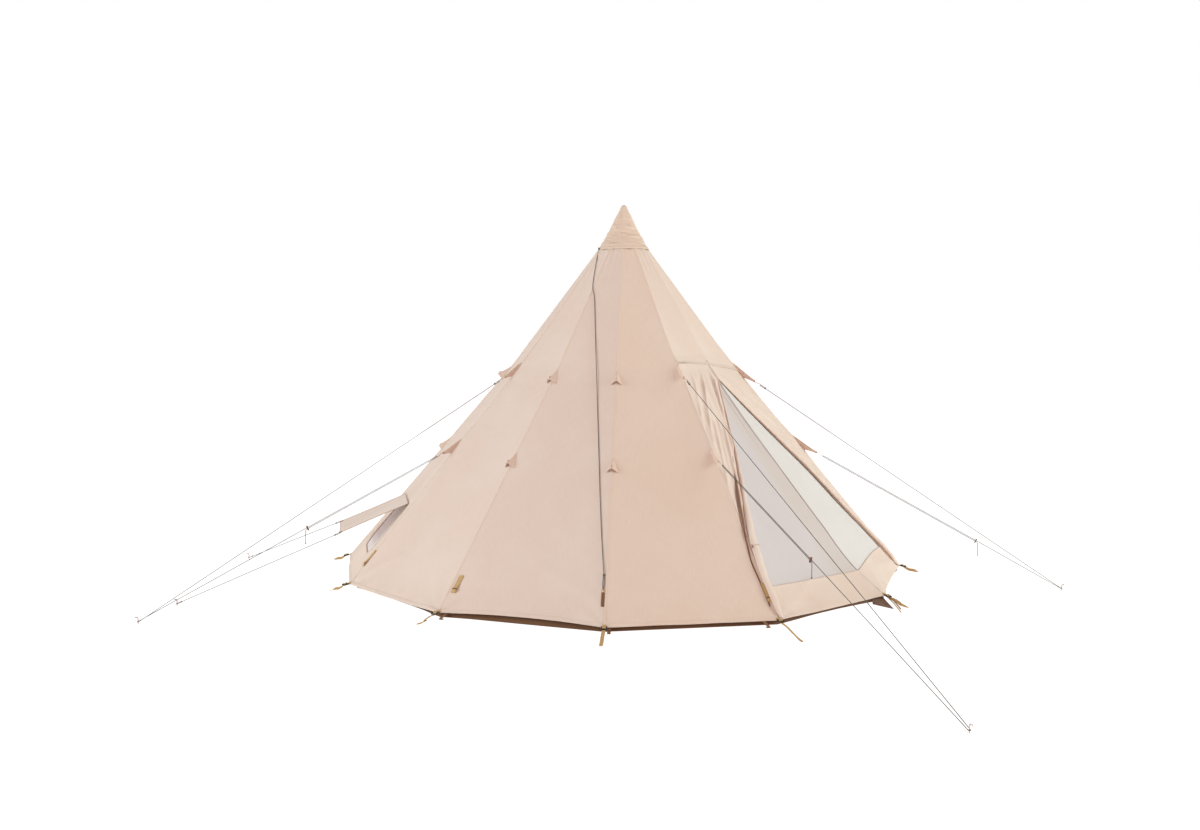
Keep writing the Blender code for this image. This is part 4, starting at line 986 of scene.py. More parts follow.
for middle, node in PANEL_NODES.items():
    name = node.replace("canvas_", "panel_")
    # The panel facing the camera takes the painted-shade copy of the canvas.
    parts = [(lattice(*panel_lattice(middle)), shaded_panel_canvas if middle == -45 else panel_canvas)]
    make_piece(name, parts, (node,), CLOTH)

# %% [markdown]
# The window panel is the same cloth with a hole in it. A Boolean cut does that: a flat prism with
# the window's outline is taken out of the thickened panel. The hole's edge is bound with brown
# piping, a thin cord in a bias strip, and the net behind it is sewn in the same seam.

# %% Window panel
WINDOW_PANEL = -135
WINDOW_WIDTH, WINDOW_TOP, WINDOW_BOTTOM, WINDOW_CORNER = 0.50, 0.495, 0.175, 0.10
PIPING_RADIUS = 0.0021
NET_LAP, NET_THICKNESS = 0.010, 0.0006


def window_outline(steps=8):
    """Outline of the window as (across, height) pairs: square above, round at its lower corners."""
    half, low, high = WINDOW_WIDTH / 2, WINDOW_BOTTOM, WINDOW_TOP
    drop = WINDOW_CORNER / ALONG_SLOPE
    outline = [(x, high) for x in np.linspace(half, -half, 14)]
    outline += [(-half, z) for z in np.linspace(high, low + drop, 8)[1:-1]]
    for side in (-1, 1):
        turns = np.linspace(0, pi / 2, steps)
        corner = [(side * (half - WINDOW_CORNER + WINDOW_CORNER * cos(turn)), low + drop - drop * sin(turn))
                  for turn in turns]
        outline += corner if side < 0 else corner[::-1]
        if side < 0:
            outline += [(x, low) for x in np.linspace(WINDOW_CORNER - half, half - WINDOW_CORNER, 8)[1:-1]]
    outline += [(half, z) for z in np.linspace(low + drop, high, 8)[1:-1]]
    return np.array(outline)


def on_panel(middle, x, z, lift=0.0):
    """Point of the canvas at x metres from the panel's middle."""
    return canvas_at(middle, 0.5 + x / panel_width(middle, z), z, lift)


def prism_through(outline_points, normal, depth):
    """Closed prism through a ring of points, along a normal."""
    count = len(outline_points)
    points = np.concatenate([outline_points + normal * depth, outline_points - normal * depth])
    faces = [tuple(range(count)), tuple(range(2 * count - 1, count - 1, -1))]
    faces += [(i, i + count, (i + 1) % count + count, (i + 1) % count) for i in range(count)]
    return points, faces


outline = window_outline()
normal = panel_centre(WINDOW_PANEL, 0.33)[1]
parts = [(lattice(*panel_lattice(WINDOW_PANEL)), panel_canvas)]
window_panel = make_piece("panel_window", parts, ("canvas_window_panel",), CLOTH)
edge = on_panel(WINDOW_PANEL, outline[:, 0], outline[:, 1])
cut_holes(window_panel, [prism_through(edge, normal, 0.03)])
loop = np.concatenate([edge, edge[:2]]) + normal * 0.0006
make_piece("window_piping", [(tube(loop, PIPING_RADIUS, 8), piping)])
half, low, high = WINDOW_WIDTH / 2 + NET_LAP, WINDOW_BOTTOM - NET_LAP, WINDOW_TOP + NET_LAP
x, z = np.meshgrid(np.linspace(-half, half, 30), np.linspace(low, high, 24))
drop = WINDOW_CORNER / ALONG_SLOPE
inset = np.clip((drop - (z - low)) / drop, 0, 1)
x = x * (half - WINDOW_CORNER * (1 - np.sqrt(1 - inset ** 2))) / half
points = on_panel(WINDOW_PANEL, x, z, -0.0022)
uv = np.stack([x, z * ALONG_SLOPE], -1)
parts = [(lattice(points, uv), window_net)]
window_mesh = make_piece("window_net", parts, ("window_mesh",), NET_THICKNESS)
print("window hole is", WINDOW_WIDTH, "by", round((WINDOW_TOP - WINDOW_BOTTOM) * ALONG_SLOPE, 3), "m")

# %% [markdown]
# The door half-panels leave the doorway open: a sill below, a yoke above and a narrow strip beside
# the guyed seam. The lattice's rows and columns follow those edges, so the opening is simply a
# block of cells that is left out. Rows are numbered by a level: 0 to 1 is the sill, 1 to 2 the
# doorway, 2 to 3 the yoke.

# %% Door canvas
DOOR_STRIP, DOOR_STRIP_SHARE = 0.040, 0.25
YOKE_HEIGHT = 1.42
DOOR_SIDES = {-15: "left", 15: "right"}
DOOR_HEM = 0.014
STRIP_CELLS, OPEN_CELLS = 4, 36
SILL_ROWS = np.array([0, 0.03, 0.09, 0.155, 0.165, *np.linspace(0.22, 0.90, 8), 0.93, 0.965, 1.0])
OPENING_ROWS = np.linspace(0, 1, 90)[1:]
YOKE_ROWS = np.array([0.006, 0.0125, 0.0135, *np.linspace(0.03, 1.0, 66)])


def sill_height(middle, t):
    """Upper edge of the sill across one half of the door."""
    if middle < 0:
        return 0.196 - 0.026 * t
    return 0.170 + 0.016 * smoothstep(t / 0.7) - 0.006 * smoothstep((t - 0.7) / 0.3)


def door_t(middle, share):
    """Place across a panel, from share 0 at the guyed seam to 1 at the door's middle seam."""
    return share if middle < 0 else 1 - share


def strip_share(middle, z):
    """Share of the panel's width that the canvas strip takes beside the guyed seam."""
    return np.minimum(DOOR_STRIP / panel_width(middle, z), DOOR_STRIP_SHARE)


def make_door_canvas(middle):
    """Canvas of one half of the door."""
    columns = np.concatenate([np.linspace(0, 1, STRIP_CELLS + 1), 1 + np.linspace(0, 1, OPEN_CELLS + 1)[1:]])
    column, level = np.meshgrid(columns, np.concatenate([SILL_ROWS, 1 + OPENING_ROWS, 2 + YOKE_ROWS]))
    guess = np.where(level <= 1, 0.1, np.where(level <= 2, 0.19 + (level - 1) * 1.23,
                                               YOKE_HEIGHT + (level - 2) * (CROWN_HEIGHT - YOKE_HEIGHT)))
    strip = strip_share(middle, guess)
    share = np.where(column <= 1, column * strip, strip + (column - 1) * (1 - strip))
    t = door_t(middle, share)
    bottom, sill = hem_height(middle, t), sill_height(middle, t)
    z = np.where(level <= 1, bottom + level * (sill - bottom),
                 np.where(level <= 2, sill + (level - 1) * (YOKE_HEIGHT - sill),
                          YOKE_HEIGHT + (level - 2) * (CROWN_HEIGHT - YOKE_HEIGHT)))
    lift = hemmed((z - bottom) * ALONG_SLOPE)
    lift = np.maximum(lift, hemmed((sill - z) * ALONG_SLOPE, DOOR_HEM) * (level <= 1))
    lift = np.maximum(lift, hemmed((z - YOKE_HEIGHT) * ALONG_SLOPE, DOOR_HEM) * (level >= 2))
    points = canvas_at(middle, t, z, lift)
    uv = cloth_uv(middle, t, z, bottom)
    low, high, outer = level[:-1, :-1], level[1:, 1:], column[:-1, :-1] >= 1
    cuts = {"sill": high <= 1, "strip": (low >= 1) & (high <= 2) & ~outer, "yoke": low >= 2}
    made = {}
    for part, keep in cuts.items():
        table = (points, uv, keep)
        if middle > 0:
            table = (points[:, ::-1], uv[:, ::-1], keep[:, ::-1])
        node = ("canvas_door_" + DOOR_SIDES[middle],) if part == "yoke" else ()
        name = "door_%s_%s" % (part, DOOR_SIDES[middle])
        made[part] = make_piece(name, [(lattice(*table), panel_canvas)], node, CLOTH)
    return made


door_canvas = {middle: make_door_canvas(middle) for middle in DOOR_SIDES}
print("door canvas:", [piece.name for made in door_canvas.values() for piece in made.values()])

# %% [markdown]
# Behind the doorway hangs the net, two halves that meet at the zip. The zip is sewn to gathered
# net on the left half, which is why fine pleats fan out from it. The net slips a finger's width
# behind the canvas all round, where the two are stitched together.

# %% Door net
NET_DEPTH = 0.0030
PLEATS, PLEAT_HEIGHT = 50, 0.0014


def make_door_net(middle):
    """One half of the door's net, pleated beside the zip."""
    share, level = np.meshgrid(np.linspace(0, 1, 110), np.linspace(0, 1, 90))
    sill = sill_height(middle, door_t(middle, share))
    z = sill - NET_LAP + level * (YOKE_HEIGHT + NET_LAP - sill + NET_LAP)
    first = strip_share(middle, z) * 0.72
    share = first + share * (1 - first)
    t = door_t(middle, share)
    reach = (0.80 + 0.02 * level) if middle < 0 else 0.93
    near_zip = smoothstep((share - reach) / 0.05) * smoothstep((1 - share) / 0.02)
    pleats = PLEAT_HEIGHT * near_zip * np.sin(2 * pi * share * PLEATS)
    slack = -0.004 * np.sin(pi * share) * np.sin(pi * level)
    outward = panel_centre(middle, 0.8)[1]
    points = canvas_at(middle, t, z, -NET_DEPTH + slack) + outward * pleats[..., None]
    uv = np.stack([share * panel_width(middle, z), z * ALONG_SLOPE], -1)
    attribute = share
    if middle > 0:
        points, uv, attribute = points[:, ::-1], uv[:, ::-1], share[:, ::-1]
    name = DOOR_SIDES[middle]
    material = left_net if middle < 0 else right_net
    return make_piece("door_net_" + name, [(lattice(points, uv), material)],
                      ("door_mesh_" + name,), NET_THICKNESS, attribute=attribute.ravel())


door_nets = {middle: make_door_net(middle) for middle in DOOR_SIDES}
print("door nets:", [piece.name for piece in door_nets.values()])

# %% [markdown]
# The flaps are the doorway's own canvas, opened and tied back. Each is still sewn to the yoke above
# and to the guyed seam, so its spare width is rolled up along the free edge and held by toggles. In
# cross-section a flap is a flat part, crossed by folds that run up to the yoke, and then a spiral.
# Every row of the lattice is one such cross-section.

# %% Door flaps
FLAP_MARGIN = 0.012
FLAP_TOP, FLAP_BOTTOM = 1.495, 0.037
FOLD_DEPTH, FLAP_TURNS, ROLL_HEART = 1.7, 5.2, 0.20
FLAP_COLUMNS, ROLL_COLUMNS, FLAP_ROWS = 56, 84, 130
FLAP_CLOTH = 0.0009
FLAPS = {
    -15: {
        "width": [(0.035, 0.038), (0.231, 0.038), (0.288, 0.042), (0.391, 0.062), (0.515, 0.095),
                  (0.719, 0.179), (0.848, 0.239), (1.067, 0.325), (1.25, 0.390), (1.346, 0.424),
                  (1.42, 0.46)],
        "roll": [(0.035, 0.017), (0.08, 0.023), (0.20, 0.027), (0.42, 0.033), (0.55, 0.027),
                 (0.70, 0.018), (0.87, 0.009), (1.10, 0.005), (1.46, 0.003)],
        "bulk": [(0.035, 0.006), (0.08, 0.010), (0.20, 0.013), (0.42, 0.015), (0.60, 0.014),
                 (0.87, 0.009), (1.10, 0.005), (1.46, 0.0016)],
        "folds": [(0.241, 1.422, 0.060, 1.102, 0.011, -0.008), (0.285, 1.44, 0.075, 1.04, 0.010, 0.007),
                  (0.347, 1.402, 0.300, 1.10, 0.010, -0.008), (0.385, 1.44, 0.270, 0.98, 0.011, 0.008),
                  (0.150, 1.40, 0.045, 1.16, 0.011, 0.005), (0.200, 1.10, 0.050, 0.72, 0.013, -0.007),
                  (0.160, 1.08, 0.030, 0.78, 0.011, 0.006), (0.250, 1.05, 0.100, 0.66, 0.012, 0.007),
                  (0.110, 0.86, 0.035, 0.58, 0.009, -0.006)]},
    15: {
        "width": [(0.035, 0.045), (0.11, 0.066), (0.205, 0.083), (0.313, 0.112), (0.45, 0.158),
                  (0.594, 0.184), (0.751, 0.208), (0.916, 0.253), (1.082, 0.300), (1.21, 0.348),
                  (1.336, 0.404), (1.42, 0.45)],
        "roll": [(0.035, 0.014), (0.11, 0.021), (0.20, 0.021), (0.40, 0.018), (0.70, 0.016),
                 (0.95, 0.013), (1.20, 0.008), (1.46, 0.003)],
        "bulk": [(0.035, 0.007), (0.11, 0.013), (0.20, 0.014), (0.40, 0.012), (0.70, 0.010),
                 (0.95, 0.008), (1.20, 0.005), (1.46, 0.0016)],
        "folds": [(0.380, 1.42, 0.200, 1.02, 0.011, -0.007), (0.330, 1.43, 0.150, 1.08, 0.011, 0.006),
                  (0.420, 1.36, 0.300, 0.98, 0.010, 0.007), (0.220, 1.40, 0.090, 1.10, 0.012, -0.005),
                  (0.220, 0.98, 0.080, 0.55, 0.013, -0.006), (0.260, 0.90, 0.120, 0.45, 0.012, 0.006),
                  (0.120, 0.70, 0.050, 0.35, 0.010, 0.005)]}}


def flap_reach(middle, z):
    """Distance of a flap's free edge from the guyed seam, and its roll's two half sizes."""
    return [curve_through(FLAPS[middle][key], z) for key in ("width", "roll", "bulk")]


def beside_door(middle, x, z, lift):
    """Point of the door canvas at x metres from its guyed seam."""
    return canvas_at(middle, door_t(middle, x / panel_width(middle, z)), z, lift)


def flap_section(middle, z):
    """Cross-sections of a flap: distance from the guyed seam, and height above the canvas."""
    reach, roll, bulk = (size[:, None] for size in flap_reach(middle, z))
    reach = np.minimum(reach, panel_width(middle, z)[:, None] - 0.002)
    s = np.linspace(0, 1, FLAP_COLUMNS)[None]
    flat_end = np.maximum(reach - roll, FLAP_MARGIN + 0.006)
    x_flat = FLAP_MARGIN + s * (flat_end - FLAP_MARGIN)
    z_flat = np.broadcast_to(z[:, None], x_flat.shape)
    under_hood = smoothstep((YOKE_HEIGHT + 0.02 - z_flat) / 0.10)
    free = smoothstep(s / 0.12) * under_hood
    lift = 0.0016 + 0.004 * free * smoothstep((1 - s) / 0.12)
    for fold in FLAPS[middle]["folds"]:
        lift = lift + FOLD_DEPTH * free * fold_line(x_flat, z_flat, *fold)
    lift = lift + free * rolling(middle + 70, x_flat * 2.2, z_flat * 0.8, 0.11, 0.0016)
    lift = np.maximum(lift, 0.0014)
    turns = FLAP_TURNS * 2 * pi * np.linspace(0, 1, ROLL_COLUMNS)[None]
    shrink = 1 - (1 - ROLL_HEART) * turns / turns.max()
    squeeze = 1 + 0.10 * np.sin(z[:, None] * 31 + middle) + 0.05 * np.sin(z[:, None] * 77)
    x_roll = (reach - roll) + roll * shrink * np.sin(turns)
    lift_roll = 0.0016 + bulk * squeeze * (1 - shrink * np.cos(turns))
    blend = smoothstep(turns / 1.2)
    lift_roll = lift[:, -1:] * (1 - blend) + lift_roll * blend
    return np.concatenate([x_flat, x_roll[:, 1:]], 1), np.concatenate([lift, lift_roll[:, 1:]], 1)


def make_flap(middle):
    """One flap of the door, tied back."""
    z = np.linspace(FLAP_BOTTOM, FLAP_TOP, FLAP_ROWS)
    x, lift = flap_section(middle, z)
    height = np.broadcast_to(z[:, None], x.shape)
    points = beside_door(middle, x, height, lift)
    across = np.concatenate([np.zeros((len(z), 1)), np.cumsum(np.hypot(np.diff(x), np.diff(lift)), 1)], 1)
    uv = np.stack([across, (height - FLAP_BOTTOM) * ALONG_SLOPE + 0.03], -1)
    if middle > 0:
        points, uv = points[:, ::-1], uv[:, ::-1]
    name = DOOR_SIDES[middle]
    return make_piece("flap_" + name, [(lattice(points, uv), panel_canvas)],
                      ("door_flap_" + name,), FLAP_CLOTH)


flaps = {middle: make_flap(middle) for middle in FLAPS}
print("flaps:", [piece.name for piece in flaps.values()])

# %% [markdown]
# Above the doorway a loose strip of canvas, the hood, keeps rain out of the zip. It is stitched
# along its top only, so its lower edge stands off the tent a little and throws a thin shadow.

# %% Hood over the door
HOOD_TOP = 1.545
HOOD_EDGE = {-15: [(0.0, 1.502), (0.5, 1.484), (1.0, 1.466)],
             15: [(0.0, 1.466), (0.5, 1.452), (1.0, 1.430)]}
HOOD_ROWS = np.array([*np.linspace(0, 0.88, 9), 0.89, 0.95, 1.0])
HOOD_STAND, HOOD_WAVE = 0.0068, 0.0014


def make_hood(middle):
    """Half of the hood, free along its lower edge."""
    t, level = np.meshgrid(np.linspace(0, 1, 40), HOOD_ROWS)
    low = curve_through(HOOD_EDGE[middle], t)
    z = HOOD_TOP + level * (low - HOOD_TOP)
    ends = smoothstep(t / 0.04) * smoothstep((1 - t) / 0.04)
    wave = HOOD_WAVE * np.sin(9 * t + middle) * level ** 2
    lift = 0.0014 * smoothstep(level / 0.3) - 0.0008 + 0.0007 * (level > 0.885)
    lift = lift + (HOOD_STAND * level ** 1.6 + wave) * (0.45 + 0.55 * ends)
    points = canvas_at(middle, t, z, lift)[::-1]
    uv = cloth_uv(middle, t, z, low)[::-1]
    parts = [(lattice(points, uv), panel_canvas)]
    return make_piece("hood_" + DOOR_SIDES[middle], parts, (), FLAP_CLOTH)


hoods = {middle: make_hood(middle) for middle in HOOD_EDGE}
print("hood halves:", [piece.name for piece in hoods.values()])

# %% [markdown]
# The rolled edge of each flap shows its inside: a brown zip tape lies in the slit beside the left roll,
# and another peeps out below the right one. Their dark brown is also a painted shade of the slit and of
# the roll's underside. A cord loop with a small brown toggle holds the left roll. Places beside a seam
# are given by their distance from it, to the left or to the right.

# %% Flap zip tapes with painted slit shade, and toggles
SLIT = [(0.10, -0.021), (0.24, -0.023), (0.33, -0.026), (0.421, -0.010), (0.469, -0.002), (0.575, 0.034),
        (0.703, 0.091), (0.816, 0.158), (0.90, 0.212)]
SLIT_LIFT = [(0.10, 0.0035), (0.42, 0.0045), (0.52, 0.0115), (0.80, 0.0125), (0.90, 0.0085)]
SHADE_TAPE_HALF = {-15: [(0.10, 0.004), (0.24, 0.004), (0.42, 0.0045), (0.50, 0.007), (0.58, 0.011), (0.68, 0.011),
                   (0.80, 0.006), (0.90, 0.002)],
             15: [(0.09, 0.015), (0.20, 0.011), (0.45, 0.008), (0.90, 0.006), (1.36, 0.003)]}
TOGGLE_HEIGHTS = {-15: (0.40,), 15: ()}


def beside_seam(seam, offset, z, lift=0.0):
    """Points of the canvas at a signed distance to the right of a seam."""
    offset, z = np.broadcast_arrays(np.asarray(offset, float), np.asarray(z, float))
    lift = np.broadcast_to(lift, z.shape)
    before, after = seam - SEAM_STEP / 2, (seam + SEAM_STEP / 2 + 180) % 360 - 180
    left = canvas_at(before, 1 + np.minimum(offset, 0) / panel_width(before, z), z, lift)
    right = canvas_at(after, np.maximum(offset, 0) / panel_width(after, z), z, lift)
    return np.where((offset < 0)[..., None], left, right)


def make_flap_tape_and_shade(middle):
    """Zip tape along the roll, its dark brown also a painted shade of the slit and underside, and toggles
    round it.
    """
    table = SHADE_TAPE_HALF[middle]
    q, z = np.meshgrid(np.linspace(-1, 1, 5), np.linspace(table[-1][0], table[0][0], 90))
    half = curve_through(table, z)
    if middle < 0:
        points = beside_seam(-30, curve_through(SLIT, z) + q * half, z, curve_through(SLIT_LIFT, z))
    else:
        centre = flap_reach(middle, z)[0] + 0.4 * half
        points = beside_door(middle, centre + q * half, z, 0.0030 + 0.0008 * np.sin(z * 50))
    uv = np.stack([q * half, z * ALONG_SLOPE], -1)
    flip = slice(None, None, -1) if middle < 0 else slice(None)
    # The brown strip is zip tape and also paints the shade in the slit (left) and under the roll (right).
    parts = [(slab(points[flip], uv[flip], 0.0009), brown_tape if middle < 0 else piping)]
    for height in TOGGLE_HEIGHTS[middle]:
        width, roll, bulk = flap_reach(middle, np.array(height))
        turn = np.linspace(0, 2 * pi, 28)
        x = width - roll + (roll + 0.0025) * np.cos(turn)
        lift = 0.0016 + bulk * 1.05 + (bulk * 1.1 + 0.0022) * np.sin(turn)
        loop = beside_door(middle, x, np.full_like(x, height), np.maximum(lift, 0.002))
        parts.append((tube(loop, 0.0016, 8), piping))
        bar_z = height + np.linspace(-0.009, 0.009, 5)
        bar_x = np.full_like(bar_z, width - 2 * roll - 0.002)
        bar = beside_door(middle, bar_x, bar_z, np.full_like(bar_z, 0.010 + bulk))
        parts.append((tube(bar, 0.0030, 10), brown_metal))
    return make_piece("flap_tape_and_shade_" + DOOR_SIDES[middle], parts)


flap_tapes_and_shade = {middle: make_flap_tape_and_shade(middle) for middle in FLAPS}
print("flap trims:", [piece.name for piece in flap_tapes_and_shade.values()])

# %% [markdown]
# Flat-felled seams join the panels: each seam is a narrow raised strip, four layers thick, with two
# rows of stitches. The strip is one long slab bent over the ridge, half of it on each panel.

# %% Seam tapes
SEAM_RAISE = 0.0010
DOOR_TAPE, DOOR_TAPE_TOP = 0.008, 1.49
SEAMS = {0: "door", 30: "front_right", 60: "right_front", 90: "right", 120: "right_back",
         150: "back_right", 180: "back", -150: "back_left", -120: "left_back", -90: "left",
         -60: "left_front", -30: "front_left"}


def seam_tape(seam):
    """Shape of one felled seam, from the hem to under the cap."""
    wide, top = (DOOR_TAPE, DOOR_TAPE_TOP) if seam == 0 else (SEAM_WIDTH, RIM_HEIGHT + 0.030)
    offsets = wide * np.array([-0.5, -0.42, -0.25, 0, 0.25, 0.42, 0.5])
    offset, z = np.meshgrid(offsets, np.linspace(HEM_HEIGHT + 0.001, top, 170))
    arch = np.cos(pi * np.clip(np.abs(offset) / wide, 0, 0.5) * 0.9)
    pucker = 0.00025 * np.sin(z * 420 + seam)
    points = beside_seam(seam, offset, z, 0.0004 + (SEAM_RAISE + pucker) * arch)
    uv = np.stack([offset + SEAM_WIDTH / 2, (z - HEM_HEIGHT) * ALONG_SLOPE], -1)
    return slab(points, uv, 0.0014)


for seam, label in SEAMS.items():
    look = zip_canvas if seam == 0 else seam_canvas
    make_piece("seam_" + label, [(seam_tape(seam), look)])
print(len(SEAMS), "seams,", SEAM_WIDTH * 1000, "mm wide")

# %% [markdown]
# The vent cap is a small hat of thicker, slightly darker canvas over the pole's tip. It is sewn from
# gores, and it never lies smooth: below its tip fine wrinkles run round it. The
# lattice is a turned profile; wrinkles, gore seams and the wavy rim are added along its normals.

# %% Vent cap
CAP_TIP = 2.589
CAP_PROFILE = [(0.0, 0.0), (0.009, 0.002), (0.019, 0.012), (0.032, 0.040), (0.054, 0.081), (0.080, 0.134),
               (0.108, 0.192), (0.145, 0.256), (0.1815, 0.318)]
CAP_COLUMNS, CAP_ROWS = 181, 74
CAP_GORES = 60.0
CAP_WRINKLES = 110


def cap_wrinkles(turn, down):
    """Fine folds that run round the cap, scattered by a seeded draw."""
    draw = np.random.default_rng(31)
    wrinkles = np.zeros(down.shape)
    for _ in range(CAP_WRINKLES):
        centre, where = draw.uniform(0.22, 0.97), draw.uniform(-pi, pi)
        span, lean, size = draw.uniform(0.18, 0.55), draw.normal(0, 0.06), draw.uniform(0.010, 0.020)
        apart = np.angle(np.exp(1j * (turn - where)))
        line = np.exp(-((down - centre - lean * apart) / size) ** 2) * np.exp(-(apart / span) ** 2)
        wrinkles = wrinkles + line * draw.choice([-1, 1]) * draw.uniform(0.0016, 0.0040)
    return wrinkles


radii, drops = np.array(CAP_PROFILE).T
length = np.concatenate([[0], np.cumsum(np.hypot(np.diff(radii), np.diff(drops)))])
level = length[-1] * np.concatenate([np.linspace(0.004, 0.93, CAP_ROWS), [0.937, 0.97, 1.0]])
radius = curve_through(list(zip(length, radii)), level)
drop = curve_through(list(zip(length, drops)), level)
angle = np.linspace(-180, 180, CAP_COLUMNS)
turn, row = np.meshgrid(np.radians(angle), np.arange(len(level)))
away = np.stack([np.sin(turn), -np.cos(turn), 0 * turn], -1)
points = away * radius[row][..., None] + (CAP_TIP - drop[row])[..., None] * UP
outward, upward = (np.gradient(size, level)[row][..., None] for size in (drop, radius))
normals = unit(away * outward + UP * upward)
down = level[row] / length[-1]
share = smoothstep((down - 0.15) / 0.4)
wrinkles = cap_wrinkles(turn, down)
nearest = np.abs(((np.degrees(turn) + CAP_GORES / 2) % CAP_GORES) - CAP_GORES / 2)
across = np.radians(nearest) * radius[row]
gore = 0.0013 * np.exp(-(across / 0.0045) ** 2) * smoothstep(down / 0.15)
pucker = -0.0022 * np.exp(-(across / 0.022) ** 2) * share
rim = smoothstep((down - 0.7) / 0.3) * (0.0022 * np.sin(3 * turn + 0.4) + 0.0014 * np.sin(7 * turn + 1.3))
fold = 0.0009 * (down > 0.935)
points = points + normals * (share * wrinkles + gore + pucker + rim + fold)[..., None]
points[..., 2] += 0.0035 * smoothstep((down - 0.8) / 0.2) * np.sin(2 * turn + 2.2)
uv = np.stack([turn * radius[row], (1 - down) * length[-1]], -1)
parts = [(lattice(points[::-1], uv[::-1]), cap_canvas)]
cap = make_piece("cap", parts, ("vent_cap",), CLOTH)
print("cap is", round(2 * CAP_PROFILE[-1][0], 3), "m across its rim")

# %% [markdown]
# The awning is the window's cover, rolled down in bad weather and propped out here. Its cords pull
# at the two outer corners, so the cloth hollows between hinge and corners and its free edge curves.

# %% Awning
AWNING_HINGE, AWNING_LENGTH, AWNING_DROOP, AWNING_EYELET = 0.515, 0.50, 22.5, 0.016
AWNING_STANDOFF = 0.0023
EYELET_RADIUS = 0.0035
AWNING_DOWN = direction(WINDOW_PANEL) * cos(radians(AWNING_DROOP)) - UP * sin(radians(AWNING_DROOP))
AWNING_ACROSS = direction(WINDOW_PANEL + 90)
AWNING_UP = np.cross(AWNING_ACROSS, AWNING_DOWN) * -1
AWNING_ORIGIN = panel_centre(WINDOW_PANEL, AWNING_HINGE)[0] + direction(WINDOW_PANEL) * AWNING_STANDOFF


def awning_point(x, y, rise=0.0):
    """Point of the awning, x along its hinge and y down its slope."""
    x, y, rise = (value[..., None] for value in np.broadcast_arrays(x, y, rise))
    return AWNING_ORIGIN + x * AWNING_ACROSS + y * AWNING_DOWN + rise * AWNING_UP


def awning_sag(x, y):
    """Sag of the awning between its hinge and its two held corners."""
    half = WINDOW_WIDTH / 2
    share_x, share_y = 1 - (x / half) ** 2, y / AWNING_LENGTH
    belly = -0.014 * np.clip(share_x, 0, 1) * np.sin(pi * np.clip(share_y, 0, 1) * 0.72)
    fan = np.arctan2(y, half - np.abs(x) + 0.02)
    return belly + 0.0018 * np.sin(12 * fan) * np.clip(share_x, 0, 1) * share_y


half = WINDOW_WIDTH / 2
x, y = np.meshgrid(np.linspace(-half, half, 48), np.linspace(0, AWNING_LENGTH, 48))
tuck = 0.010 * (1 - (2 * y / AWNING_LENGTH - 1) ** 2) * np.sign(x) * (np.abs(x) / half) ** 4
points = awning_point(x - tuck, y, awning_sag(x, y) + 0.0006)
edge = np.minimum(np.minimum(half - np.abs(x), AWNING_LENGTH - y), 1.0)
points = points + AWNING_UP * 0.0005 * (edge < 0.02)[..., None]
uv = np.stack([x, AWNING_LENGTH - y], -1)
# The awning takes the lighter, painted-light copy of the canvas.
parts = [(lattice(points[::-1], uv[::-1]), lit_awning_canvas)]
awning = make_piece("awning", parts, ("window_awning",), CLOTH)
across, down = half - AWNING_EYELET, AWNING_LENGTH - AWNING_EYELET
eyelets = [awning_point(side * across, down) for side in (-1, 1)]
turn = 2 * pi * np.arange(16) / 16
circle = (np.cos(turn)[:, None] * AWNING_ACROSS + np.sin(turn)[:, None] * AWNING_DOWN) * EYELET_RADIUS
cut_holes(awning, [prism_through(centre + circle[::-1], AWNING_UP, 0.02) for centre in eyelets])
rim = np.concatenate([points[:, 0], points[-1, 1:], points[-2::-1, -1]]) - AWNING_UP * 0.0006
parts = [(tube(rim, PIPING_RADIUS, 8), piping)]
for centre in eyelets:
    parts.append((ring(centre + AWNING_UP * 0.0008, AWNING_UP, 0.0055, 0.0016), brown_metal))
awning_trim = make_piece("awning_trim", parts)
print("awning is", WINDOW_WIDTH, "by", AWNING_LENGTH, "m, drooping", AWNING_DROOP, "degrees")

# %% [markdown]
# The groundsheet is a shallow tray of brown coated cloth: a floor with a low upstand, clipped to the
# hem corners. Only the upstand and the floor's edge are seen from outside, under the hem's arches.

# %% Groundsheet
TRAY_FLOOR_RADIUS, TRAY_RIM_RADIUS, TRAY_RIM_HEIGHT = 1.985, 1.922, 0.070
SHEET = 0.002
TRAY_DRAWN_IN = 0.04
FLOOR_RADII = (0.02, 0.5, 1.0, 1.4, 1.7, 1.85, 1.93, 1.965)


def tray_profile():
    """Radius and height from the middle of the floor to the rim."""
    edge, rise = TRAY_FLOOR_RADIUS, TRAY_RIM_HEIGHT - SHEET
    profile = [(radius, SHEET) for radius in FLOOR_RADII]
    profile += [(edge - 0.004, SHEET), (edge, SHEET + 0.001), (edge - 0.004, 0.006)]
    profile += [(edge - s * (edge - TRAY_RIM_RADIUS), SHEET + s * rise) for s in np.linspace(0.1, 1.0, 9)]
    return np.array(profile).T


